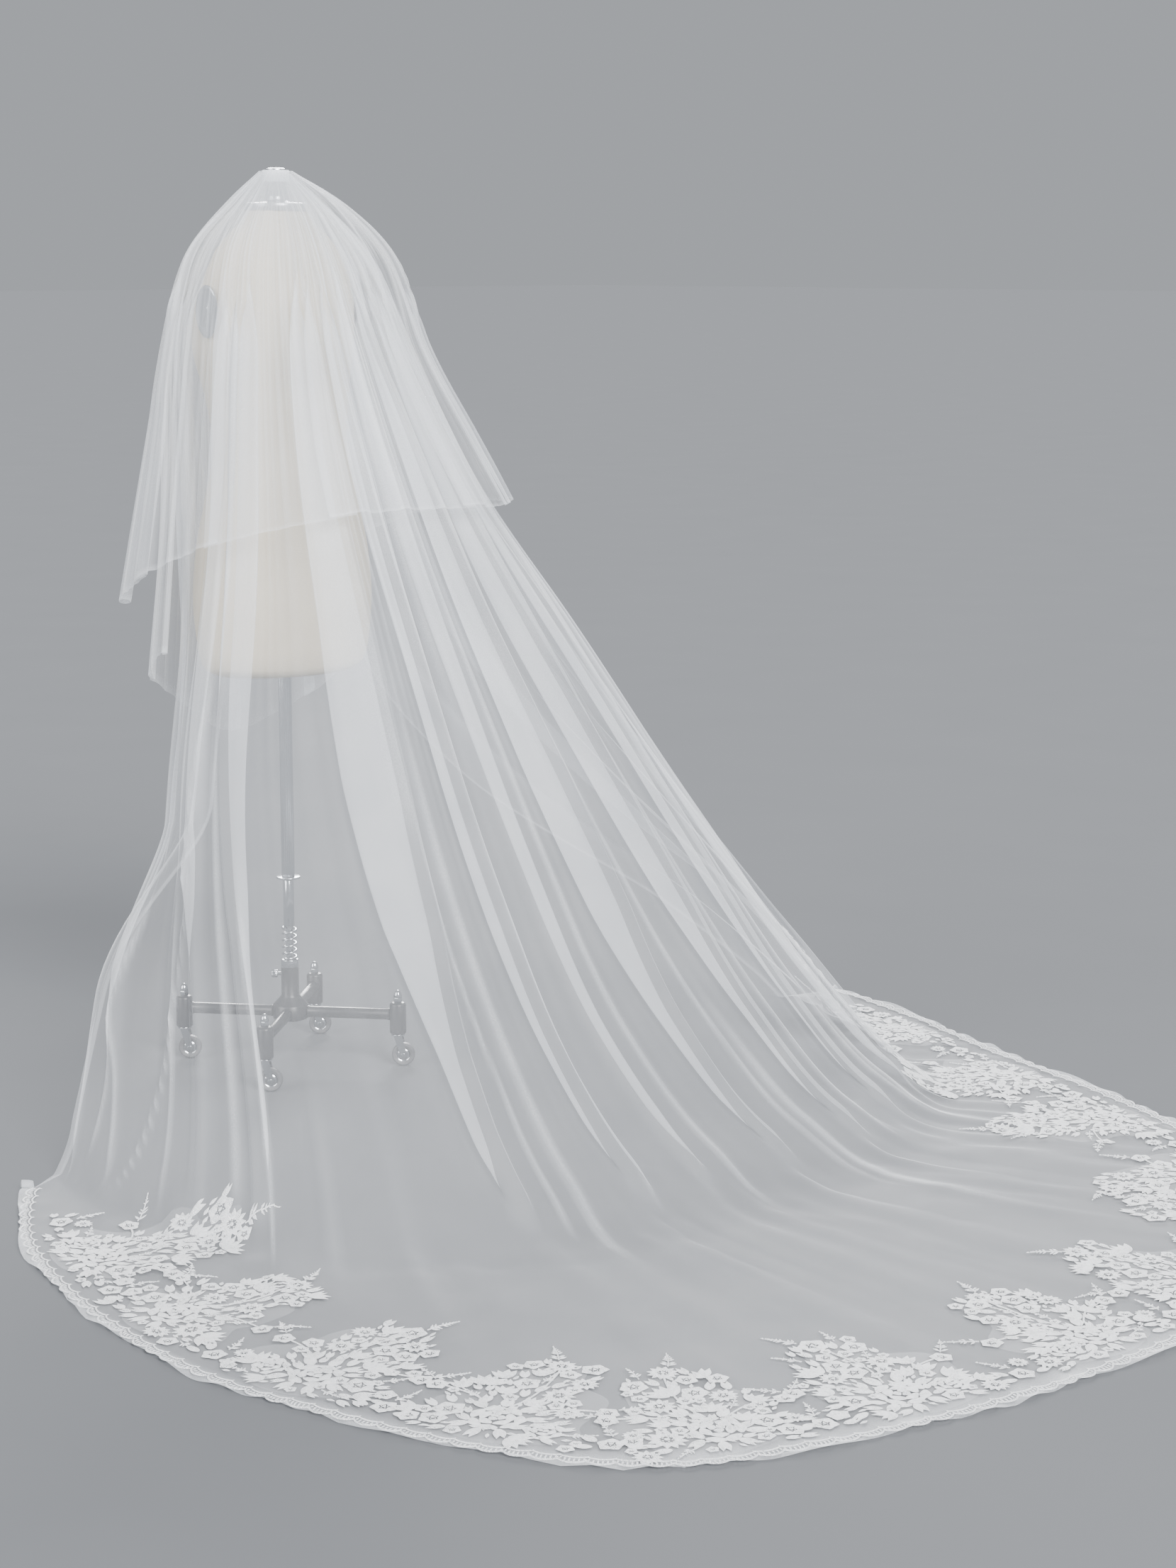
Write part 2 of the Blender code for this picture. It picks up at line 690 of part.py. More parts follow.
def add_heading(finish):
    """The narrow binding round the knob that both tiers are gathered on."""
    profile = (
        (HEADING_INNER, HEADING_HIGH),
        (HEADING_OUTER, HEADING_HIGH),
        (HEADING_OUTER, HEADING_LOW),
        (HEADING_INNER, HEADING_LOW),
        (HEADING_INNER, HEADING_HIGH),
    )
    turned("veil_heading", profile, finish)


def add_spring(finish):
    """The coil spring round the pole's core, its route worked out turn by turn."""
    points_a_turn = 8
    count = SPRING_TURNS * points_a_turn
    data = bpy.data.curves.new("spring", "CURVE")
    data.dimensions = "3D"
    data.bevel_depth = SPRING_WIRE_RADIUS
    data.bevel_resolution = 0
    data.use_fill_caps = True
    line = data.splines.new("POLY")
    line.points.add(count)
    low = SPRING_LOW + SPRING_WIRE_RADIUS + SEAM
    rise = SPRING_HIGH - SPRING_LOW - 2 * (SPRING_WIRE_RADIUS + SEAM)
    for i in range(count + 1):
        angle = 2 * math.pi * i / points_a_turn
        height = low + rise * i / count
        line.points[i].co = (
            SPRING_RADIUS * math.cos(angle), SPRING_RADIUS * math.sin(angle), height, 1.0
        )
    return add_object("spring", data, finish, smooth=False)


def add_pole(chrome, black):
    turned(
        "pole_upper",
        (
            (0.0, TORSO_SECTIONS[0][0] - SEAM),
            (POLE_UPPER_RADIUS, TORSO_SECTIONS[0][0] - SEAM),
            (POLE_UPPER_RADIUS, POLE_UPPER_LOW),
            (0.0, POLE_UPPER_LOW),
        ),
        chrome,
    )
    flange_high = POLE_UPPER_LOW - SEAM
    flange_low = flange_high - FLANGE_THICKNESS
    turned(
        "pole_flange",
        ((0.0, flange_high), (FLANGE_RADIUS, flange_high), (FLANGE_RADIUS, flange_low), (0.0, flange_low)),
        chrome,
    )
    turned(
        "pole_lower",
        (
            (0.0, flange_low - SEAM),
            (POLE_LOWER_RADIUS, flange_low - SEAM),
            (POLE_LOWER_RADIUS, SPRING_HIGH),
            (POLE_CORE_RADIUS, SPRING_HIGH),
            (POLE_CORE_RADIUS, SPRING_LOW + SEAM),
            (0.0, SPRING_LOW + SEAM),
        ),
        chrome,
    )
    add_spring(chrome)
    turned(
        "spring_collar",
        ((0.0, SPRING_LOW), (COLLAR_RADIUS, SPRING_LOW), (COLLAR_RADIUS, COLLAR_LOW), (0.0, COLLAR_LOW)),
        chrome,
    )
    high = COLLAR_LOW - SEAM
    turned(
        "base_hub",
        (
            (0.0, high),
            (HUB_TOP_RADIUS, high),
            (HUB_TOP_RADIUS, HUB_CONE_HIGH),
            (HUB_RADIUS, HUB_CONE_LOW),
            (HUB_RADIUS, HUB_LOW),
            (0.0, HUB_LOW),
        ),
        black,
        HUB_SIDES,
    )


def in_direction(degrees, reach):
    """A place on the floor plan, by its direction from straight back and its reach."""
    turn = math.radians(degrees)
    return Vector((reach * math.sin(turn), reach * math.cos(turn), 0.0))


def rod(name, start, end, radius, finish, sides=12):
    """A straight round bar between two places."""
    bm = bmesh.new()
    length = (end - start).length
    bmesh.ops.create_cone(
        bm, cap_ends=True, segments=sides, radius1=radius, radius2=radius, depth=length
    )
    piece = add_object(name, mesh_from(bm, name), finish)
    piece.location = (start + end) / 2
    piece.rotation_mode = "QUATERNION"
    piece.rotation_quaternion = (end - start).to_track_quat("Z", "Y")
    return piece


def fork_mesh():
    """A caster fork about its swivel axis: a plate, two cheeks down to the axle, and the axle."""
    plate_high = SLEEVE_LOW - SEAM
    plate_low = plate_high - FORK_PLATE_THICKNESS
    half = FORK_HALF_GAP
    thick = FORK_CHEEK_THICKNESS
    low = AXLE_HEIGHT - CHEEK_BELOW_AXLE
    outline = (
        (-half - thick, plate_high), (half + thick, plate_high), (half + thick, low),
        (half, low), (half, plate_low), (-half, plate_low), (-half, low), (-half - thick, low),
    )
    bm = bmesh.new()
    rows = []
    for side in (-1, 1):
        row = []
        for y, z in outline:
            back = WHEEL_TRAIL * (plate_high - z) / (plate_high - low)
            row.append(bm.verts.new((back + side * FORK_HALF_DEPTH, y, z)))
        rows.append(row + row[:1])
    grid_faces(bm, rows)
    bm.faces.new(rows[0][:-1])
    bm.faces.new(rows[1][:-1])
    return mesh_from(bm, "fork")


def add_base(black, chrome, plastic):
    """Four arms with caster sleeves, nuts, swivelling forks and wheels, in a loop."""
    fork_data = fork_mesh()
    for k in range(4):
        direction = BASE_TURN + 90 * k
        place = in_direction(direction, CASTER_REACH)
        mark = k + 1
        start = in_direction(direction, HUB_RADIUS + SEAM)
        end = in_direction(direction, CASTER_REACH - SLEEVE_RADIUS - SEAM)
        start.z = ARM_HEIGHT
        end.z = ARM_HEIGHT
        rod(f"base_arm_{mark}", start, end, ARM_RADIUS, black)
        edge = SLEEVE_EDGE
        sleeve = turned(
            f"caster_sleeve_{mark}",
            (
                (0.0, SLEEVE_HIGH),
                (SLEEVE_RADIUS - edge, SLEEVE_HIGH),
                (SLEEVE_RADIUS, SLEEVE_HIGH - edge),
                (SLEEVE_RADIUS, SLEEVE_LOW),
                (0.0, SLEEVE_LOW),
            ),
            black,
            SLEEVE_SIDES,
        )
        nut_low = SLEEVE_HIGH + SEAM
        nut = turned(
            f"caster_nut_{mark}",
            (
                (0.0, NUT_HIGH),
                *((share * NUT_RADIUS, NUT_HIGH - below) for share, below in NUT_DOME),
                (NUT_RADIUS, nut_low),
                (0.0, nut_low),
            ),
            chrome,
            NUT_SIDES,
        )
        sleeve.location = place
        nut.location = place
        add_caster(mark, place, fork_data, chrome, plastic)


def add_caster(mark, place, fork_data, chrome, plastic):
    """One caster: its fork turns about the sleeve's axis, its wheel about the axle."""
    swivel = bpy.data.objects.new(f"swivel_{mark}", None)
    COLLECTION.objects.link(swivel)
    swivel.parent = ROOT
    swivel.location = place
    swivel.rotation_euler.z = math.pi / 2 - math.radians(TRAIL_TURN)
    fork = add_object(f"caster_fork_{mark}", fork_data.copy(), chrome, smooth=False)
    fork.parent = swivel
    axle = axle_cylinder()
    union = fork.modifiers.new("axle", "BOOLEAN")
    union.operation = "UNION"
    union.object = axle
    axle.parent = swivel
    shoulder = TYRE_SHOULDER_SHARE * WHEEL_RADIUS
    tread = TYRE_TREAD_SHARE * WHEEL_HALF_WIDTH
    wheel = turned(
        f"caster_wheel_{mark}",
        (
            (AXLE_RADIUS + SEAM, WHEEL_HALF_WIDTH),
            (shoulder, WHEEL_HALF_WIDTH),
            (WHEEL_RADIUS, tread),
            (WHEEL_RADIUS, -tread),
            (shoulder, -WHEEL_HALF_WIDTH),
            (AXLE_RADIUS + SEAM, -WHEEL_HALF_WIDTH),
            (AXLE_RADIUS + SEAM, WHEEL_HALF_WIDTH),
        ),
        plastic,
        WHEEL_SIDES,
    )
    wheel.parent = swivel
    wheel.location = (axle_back(), 0, AXLE_HEIGHT)
    half_side = math.pi / WHEEL_SIDES
    wheel.rotation_euler = (math.pi / 2, half_side, 0)


def axle_back():
    """How far the axle trails behind the swivel axis, on the leaning cheeks."""
    plate_high = SLEEVE_LOW - SEAM
    low = AXLE_HEIGHT - CHEEK_BELOW_AXLE
    return WHEEL_TRAIL * (plate_high - AXLE_HEIGHT) / (plate_high - low)


def axle_cylinder():
    bm = bmesh.new()
    length = 2 * (FORK_HALF_GAP + FORK_CHEEK_THICKNESS + AXLE_PROUD)
    bmesh.ops.create_cone(
        bm, cap_ends=True, segments=AXLE_SIDES, radius1=AXLE_RADIUS, radius2=AXLE_RADIUS, depth=length
    )
    axle = bpy.data.objects.new("axle_guide", mesh_from(bm, "axle_guide"))
    axle.rotation_euler = (math.pi / 2, 0, 0)
    axle.location = (axle_back(), 0, AXLE_HEIGHT)
    axle.hide_render = True
    axle.display_type = "WIRE"
    GUIDES.objects.link(axle)
    return axle


def add_thumbscrew(finish):
    """The small screw in the hub that locks the pole."""
    height = HUB_HIGH - SCREW_BELOW_TOP
    start = in_direction(SCREW_TURN, HUB_TOP_RADIUS + SEAM)
    end = in_direction(SCREW_TURN, HUB_TOP_RADIUS + SCREW_REACH)
    start.z = height
    end.z = height
    rod("hub_thumbscrew", start, end, SCREW_RADIUS, finish)


def stand_on_origin():
    """Moves the root so that the middle of the whole object's base is the world origin."""
    bpy.context.view_layer.update()
    graph = bpy.context.evaluated_depsgraph_get()
    corners = []
    for piece in COLLECTION.objects:
        if piece.type == "EMPTY":
            continue
        shape = piece.evaluated_get(graph)
        data = shape.to_mesh()
        corners += [shape.matrix_world @ vertex.co for vertex in data.vertices]
        shape.to_mesh_clear()
    lows = [min(corner[i] for corner in corners) for i in range(3)]
    highs = [max(corner[i] for corner in corners) for i in range(3)]
    ROOT.location = (-(lows[0] + highs[0]) / 2, -(lows[1] + highs[1]) / 2, -lows[2])
    bpy.context.view_layer.update()


def main():
    finishes = {}
    for row in FINISHES:
        columns = dict(zip(FINISH_COLUMNS, row))
        finishes[columns["name"]] = material(**columns)
    tulle = finishes["tulle"]
    lace = finishes["lace"]
    chrome = finishes["chrome"]
    black = finishes["black_metal"]

    long_tier = Tier(
        LONG_LEVELS, LONG_GATHER_REACH, RIB_COLUMNS, LONG_RIBS, FOLD_COLUMNS, LONG_FOLDS,
        (LONG_LEVELS["shoulder"], LONG_LEVELS["hip"], 0.0),
    )
    short_turns = (BACK_LEVELS["shoulder"], 1.0, 0.6)
    back_tier = Tier(
        BACK_LEVELS, BACK_GATHER_REACH, SHORT_COLUMNS, BACK_RIBS, SHORT_FOLD_COLUMNS, BACK_FOLDS,
        short_turns,
    )
    front_tier = Tier(
        FRONT_LEVELS, FRONT_GATHER_REACH, SHORT_COLUMNS, FRONT_RIBS, SHORT_FOLD_COLUMNS, FRONT_FOLDS,
        short_turns,
    )
    train = add_tier("veil_long_tier", long_tier, LONG_RINGS, tulle)
    add_tier("veil_short_tier_back", back_tier, BACK_RINGS, tulle)
    add_tier("veil_short_tier_front", front_tier, FRONT_RINGS, tulle)
    add_heading(tulle)
    add_border(long_tier, lace)
    for number in range(SPRAYS):
        add_spray(long_tier, train, number, lace)

    add_form(finishes["form_fabric"], finishes["silver"])
    add_pole(chrome, black)
    add_thumbscrew(chrome)
    add_base(black, chrome, finishes["wheel_plastic"])
    stand_on_origin()


for old in list(bpy.data.objects):
    bpy.data.objects.remove(old, do_unlink=True)
COLLECTION = bpy.data.collections.new("bridal_veil_on_dress_form")
GUIDES = bpy.data.collections.new("guides")
bpy.context.scene.collection.children.link(COLLECTION)
bpy.context.scene.collection.children.link(GUIDES)
ROOT = bpy.data.objects.new("root", None)
COLLECTION.objects.link(ROOT)
main()
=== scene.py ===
"""Looks of a two-tier cathedral bridal veil, worn on a dress form with a castered stand.

Places are measured from the stand's pole in metres: +Z is up, the form faces -Y, the train runs
to +Y and the wearer's left is +X. The veil's tiers repeat the ribs and knife folds of the solids,
sampled finely as thin cloth, with gathers, creases and rolled edges added.
"""

import functools
import math
import random

import bmesh
import bpy
import numpy as np
from mathutils import Matrix, Vector
from mathutils.bvhtree import BVHTree


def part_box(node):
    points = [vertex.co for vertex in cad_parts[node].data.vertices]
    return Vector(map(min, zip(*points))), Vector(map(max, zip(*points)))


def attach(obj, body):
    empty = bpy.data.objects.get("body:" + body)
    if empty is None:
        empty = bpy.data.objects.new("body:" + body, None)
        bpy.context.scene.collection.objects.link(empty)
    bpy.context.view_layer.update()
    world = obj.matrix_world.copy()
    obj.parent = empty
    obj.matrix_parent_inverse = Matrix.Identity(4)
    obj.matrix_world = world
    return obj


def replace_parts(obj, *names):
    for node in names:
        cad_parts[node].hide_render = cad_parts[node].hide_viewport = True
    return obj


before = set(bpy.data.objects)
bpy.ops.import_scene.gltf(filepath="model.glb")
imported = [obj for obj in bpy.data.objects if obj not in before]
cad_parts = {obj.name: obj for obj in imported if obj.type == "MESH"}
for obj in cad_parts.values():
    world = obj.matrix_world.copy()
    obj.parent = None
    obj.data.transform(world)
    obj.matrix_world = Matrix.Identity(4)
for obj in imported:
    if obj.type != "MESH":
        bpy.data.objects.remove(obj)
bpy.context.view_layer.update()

STAND = "veil_form_and_stand"
BOX_LOW, BOX_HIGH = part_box("pole_upper")
ORIGIN = Vector(((BOX_LOW[0] + BOX_HIGH[0]) / 2, (BOX_LOW[1] + BOX_HIGH[1]) / 2, 0.0))

# Cloth, as in the solids
WALL = 0.002
SEAM = 0.0003
LONG_LEVELS = {
    "gather": 1.486,
    "neck": 1.440,
    "shoulder": 1.350,
    "bust": 1.200,
    "waist": 1.000,
    "hip": 0.750,
    "knee": 0.450,
    "shin": 0.200,
    "ankle": 0.060,
    "landing": 0.0,
    "hem": 0.0,
}
LONG_GATHER_REACH = 0.0239
RIB_COLUMNS = (
    "across", "top", "hip_turn", "hem_turn",
    "neck", "shoulder", "bust", "waist", "hip", "knee", "shin", "ankle", "landing", "hem",
)
LONG_RIBS = (
    (1.00, 140, 178, 68.5, .060, .112, .160, .155, .148, .130, .400, .640, .725, .783),
    (0.90, 115, 125, 61.0, .064, .128, .166, .160, .152, .198, .510, .720, .820, .995),
    (0.80, 85, 85, 54.1, .068, .143, .172, .174, .205, .310, .580, .790, .905, 1.170),
    (0.55, 55, 50, 39.5, .068, .140, .166, .200, .280, .470, .730, .930, 1.060, 1.556),
    (0.28, 28, 24, 23.2, .066, .128, .168, .235, .360, .550, .800, 1.000, 1.150, 1.845),
    (0.00, 0, 0, 4.4, .066, .122, .175, .260, .385, .570, .780, .980, 1.160, 1.835),
    (-0.28, -25, -20, -14.9, .066, .128, .190, .290, .440, .650, .860, 1.020, 1.180, 1.790),
    (-0.55, -50, -45, -30.2, .068, .143, .205, .302, .470, .672, .872, 1.020, 1.150, 1.480),
    (-0.80, -80, -72, -50.0, .068, .148, .186, .260, .410, .640, .850, .965, 1.030, 1.190),
    (-1.00, -115, -105, -71.6, .066, .138, .174, .180, .200, .420, .760, .920, .985, 1.085),
)
FOLD_COLUMNS = ("at_top", "at_hem", "lean", "depth", "bust", "hip", "knee", "shin")
LONG_FOLDS = (
    (0.84, 0.92, 1, .012, .020, .046, .040, .020),
    (0.70, 0.71, 1, .014, .016, .022, .014, .010),
    (0.55, 0.58, -1, .013, .028, .042, .024, .012),
    (0.30, 0.26, 1, .018, .030, .080, .070, .040),
    (0.14, 0.09, 1, .014, .014, .016, .018, .020),
    (0.00, -0.02, -1, .014, .012, .018, .014, .010),
    (-0.14, -0.12, 1, .015, .018, .048, .052, .036),
    (-0.28, -0.26, 1, .015, .020, .050, .052, .030),
    (-0.43, -0.40, 1, .015, .020, .046, .044, .026),
    (-0.58, -0.56, -1, .014, .018, .040, .040, .024),
    (-0.73, -0.72, 1, .014, .016, .040, .038, .020),
    (-0.88, -0.88, -1, .013, .014, .030, .036, .018),
)
BACK_LEVELS = {
    "gather": 1.4904,
    "neck": 1.442,
    "shoulder": 1.352,
    "bust": 1.200,
    "waist": 1.060,
    "hem": None,
}
BACK_GATHER_REACH = 0.0267
SHORT_COLUMNS = (
    "across", "top", "hip_turn", "hem_turn",
    "neck", "shoulder", "bust", "waist", "hem", "hem_height",
)
BACK_RIBS = (
    (1.00, 118, 118, 116, .078, .149, .192, .220, .272, 0.800),
    (0.70, 88, 88, 88, .080, .165, .206, .226, .258, 0.865),
    (0.35, 48, 48, 48, .086, .165, .200, .234, .276, 0.925),
    (0.00, 5, 4, 3, .092, .156, .210, .276, .336, 0.962),
    (-0.35, -35, -33, -32, .100, .182, .242, .320, .378, 0.955),
    (-0.70, -74, -72, -70, .098, .182, .228, .292, .352, 0.945),
    (-1.00, -112, -110, -108, .080, .162, .204, .226, .254, 0.880),
)
SHORT_FOLD_COLUMNS = ("at_top", "at_hem", "lean", "depth", "bust", "waist")
BACK_FOLDS = (
    (0.80, 0.80, 1, .011, .020, .030),
    (0.50, 0.48, -1, .011, .018, .026),
    (0.18, 0.14, 1, .012, .024, .036),
    (-0.16, -0.18, 1, .012, .020, .030),
    (-0.50, -0.52, -1, .011, .020, .034),
    (-0.82, -0.84, 1, .011, .016, .024),
)
FRONT_LEVELS = {
    "gather": 1.4882,
    "neck": 1.441,
    "shoulder": 1.351,
    "bust": 1.200,
    "waist": 0.980,
    "hem": None,
}
FRONT_GATHER_REACH = 0.0253
FRONT_RIBS = (
    (1.00, 252, 252, 252, .074, .148, .192, .212, .262, 0.690),
    (0.62, 226, 228, 230, .074, .142, .188, .198, .234, 0.600),
    (0.20, 190, 190, 192, .070, .122, .184, .182, .196, 0.545),
    (-0.20, 168, 166, 162, .070, .122, .184, .182, .196, 0.600),
    (-0.62, 130, 128, 128, .072, .136, .180, .188, .217, 0.665),
    (-1.00, 98, 98, 98, .075, .155, .192, .206, .232, 0.720),
)
FRONT_FOLDS = (
    (0.66, 0.62, 1, .008, .012, .018),
    (0.24, 0.22, 1, .009, .014, .020),
    (-0.24, -0.22, -1, .009, .014, .020),
    (-0.66, -0.62, -1, .008, .012, .018),
)
FOLD_SHARE = 0.045
FOLD_TURN = 0.2
FOLD_STEPS = ((0.0, 0.0), (FOLD_TURN, 0.06), (0.36, 0.36), (0.64, 0.64), (1 - FOLD_TURN, 0.94))
FOLD_OPENS_OVER = 1.0
FOLD_DEEPENS_OVER = 0.6
FOLD_CREST_PAST = 0.003
FOLD_DROP = 0.016
FOLD_ROOM = 0.62
FOLD_CLEAR_OF_HEM = 0.17
FOLD_FADE = 0.10
FOLD_RISE = 0.10
FOLD_FLAT_UNDER = 0.012
FOLD_NARROWS_UNDER = 0.34
FLAT_UNDER = 0.06
HEM_STEPS = 160

# Fine cloth: how finely a fold and the plain cloth between folds are sampled
FOLD_SAMPLES = (0, .06, .12, .17, .21, .25, .29, .34, .42, .5, .58, .66, .71, .75, .79)
FOLD_TOP_SAMPLES = 3
FOLD_DROP_SAMPLES = 5
PLAIN_SAMPLES = 16

# Listed creases: place across the cloth at top and hem, the levels that each one runs
# between, its width and its height; a negative height is a valley
CREASE_COLUMNS = ("at_top", "at_hem", "start", "end", "width", "height")
LONG_CREASES = (
    (0.97, 0.97, 2.0, 8.8, .010, .007),
    (0.345, 0.945, 4.7, 8.6, .006, .007),
    (0.60, 1.00, 5.6, 8.4, .008, .006),
    (0.93, 0.86, 3.0, 8.6, .014, .006),
    (0.78, 0.80, 2.0, 7.6, .016, -.006),
    (0.76, 0.76, 4.5, 8.8, .006, .005),
    (0.62, 0.63, 2.0, 8.4, .018, .007),
    (0.58, 0.57, 5.5, 9.2, .006, .005),
    (0.47, 0.49, 6.8, 9.3, .010, .006),
    (0.42, 0.40, 6.2, 9.7, .007, .007),
    (0.37, 0.37, 7.6, 9.8, .012, -.006),
    (0.22, 0.20, 2.0, 8.8, .006, .005),
    (0.18, 0.17, 4.8, 9.2, .016, .007),
    (0.07, 0.08, 3.0, 8.6, .007, .006),
    (0.04, 0.05, 6.0, 9.5, .014, -.006),
    (-0.07, -0.05, 2.0, 9.0, .010, .007),
    (-0.20, -0.19, 3.0, 9.2, .008, .007),
    (-0.23, -0.21, 6.5, 9.6, .018, .008),
    (-0.35, -0.33, 2.5, 8.8, .008, .007),
    (-0.37, -0.36, 6.5, 9.4, .014, -.006),
    (-0.50, -0.48, 2.5, 9.0, .010, .007),
    (-0.53, -0.50, 6.8, 9.5, .016, .008),
    (-0.65, -0.64, 3.0, 8.8, .010, .006),
    (-0.68, -0.67, 6.4, 9.3, .007, .006),
    (-0.80, -0.80, 2.5, 8.6, .012, .007),
    (-0.83, -0.82, 6.0, 9.2, .008, -.005),
    (-0.95, -0.95, 3.0, 8.8, .010, .007),
)
BACK_CREASES = (
    (0.95, 0.94, 1.5, 5.0, .008, .004),
    (0.66, 0.65, 1.5, 5.0, .010, .005),
    (0.36, 0.33, 2.0, 5.0, .012, .005),
    (0.28, 0.24, 1.5, 5.0, .006, .004),
    (0.02, 0.00, 2.0, 5.0, .012, .006),
    (-0.07, -0.10, 1.5, 5.0, .006, .004),
    (-0.32, -0.34, 1.5, 5.0, .010, .006),
    (-0.40, -0.43, 2.5, 5.0, .006, .004),
    (-0.66, -0.68, 1.5, 5.0, .010, .005),
    (-0.94, -0.95, 2.0, 5.0, .008, .004),
)
FRONT_CREASES = (
    (0.86, 0.84, 1.5, 5.0, .008, .004),
    (0.44, 0.42, 1.5, 5.0, .010, .004),
    (0.02, 0.04, 2.0, 5.0, .010, .005),
    (-0.08, -0.06, 2.5, 5.0, .006, .003),
    (-0.44, -0.42, 1.5, 5.0, .010, .004),
    (-0.84, -0.82, 1.5, 5.0, .008, .004),
)

# The cut's width, and the gathers under the heading: pleats across each tier, and their height by level
LONG_CUT_WIDTH = 3.0
SHORT_CUT_WIDTH = 1.5
LONG_GATHERS = 74
SHORT_GATHERS = 52
GATHER_AT = (0.0, 0.5, 1.2, 2.0, 3.0, 4.0, 5.0, 6.0, 10.0)
GATHER_HEIGHT = (0.0003, 0.0010, 0.0022, 0.0030, 0.0032, 0.0026, 0.0016, 0.0005, 0.0)

# Layers of net that lie together: at most under the heading, more in a fold, and in a pinched crease
MOST_LAYERS = 3.3
GATHER_POWER = 0.60
GATHER_SHARE = 0.55
FOLD_FULLNESS = 0.35
PINCHED = 2.2
HEM_EDGE_LAYERS = 2.0

# Where the train meets the floor it puckers
RIPPLE_HEIGHT = 0.0100
PUCKER_HEIGHT = 0.0030
FRILL = 0.014
ROLL_ON_FLOOR = 0.0008
ROLL_LAYER = 0.0004
# Each tier's two free edges: share of the way down where the roll starts, radius, turns and side
LONG_ROLLS = ((0.25, 0.007, 0.8, 1), (0.25, 0.006, 0.7, -1))
BACK_ROLLS = ((0.35, 0.011, 1.0, 1), (0.30, 0.005, 0.7, -1))
FRONT_ROLLS = ((0.30, 0.005, 0.7, 1), (0.30, 0.006, 0.8, -1))
LONG_ROWS = 140
SHORT_ROWS = 90
LONG_SEED = 11
BACK_SEED = 23
FRONT_SEED = 37


class Curve:
    """A smooth curve through points, with no overshoot between them and flat past its ends."""

    def __init__(self, xs, ys):
        self.xs = np.array(xs, float)
        self.ys = np.array(ys, float)
        rises = np.diff(self.ys) / np.diff(self.xs)
        before, after = rises[:-1], rises[1:]
        same = before * after > 0
        total = np.where(same, before + after, 1.0)
        middle = np.where(same, 2 * before * after / total, 0.0)
        self.slopes = np.concatenate((rises[:1], middle, rises[-1:]))

    def __call__(self, x):
        x = np.clip(x, self.xs[0], self.xs[-1])
        i = np.clip(np.searchsorted(self.xs, x, side="right") - 1, 0, len(self.xs) - 2)
        step = self.xs[i + 1] - self.xs[i]
        t = (x - self.xs[i]) / step
        low, high = self.ys[i], self.ys[i + 1]
        return (
            low + (high - low) * t * t * (3 - 2 * t)
            + self.slopes[i] * step * t * (1 - t) ** 2
            - self.slopes[i + 1] * step * t * t * (1 - t)
        )


def ease(x):
    """0 below 0, 1 above 1 and smooth between."""
    x = np.clip(x, 0.0, 1.0)
    return x * x * (3 - 2 * x)


def unit(rows):
    return rows / np.maximum(np.linalg.norm(rows, axis=-1, keepdims=True), 1e-9)


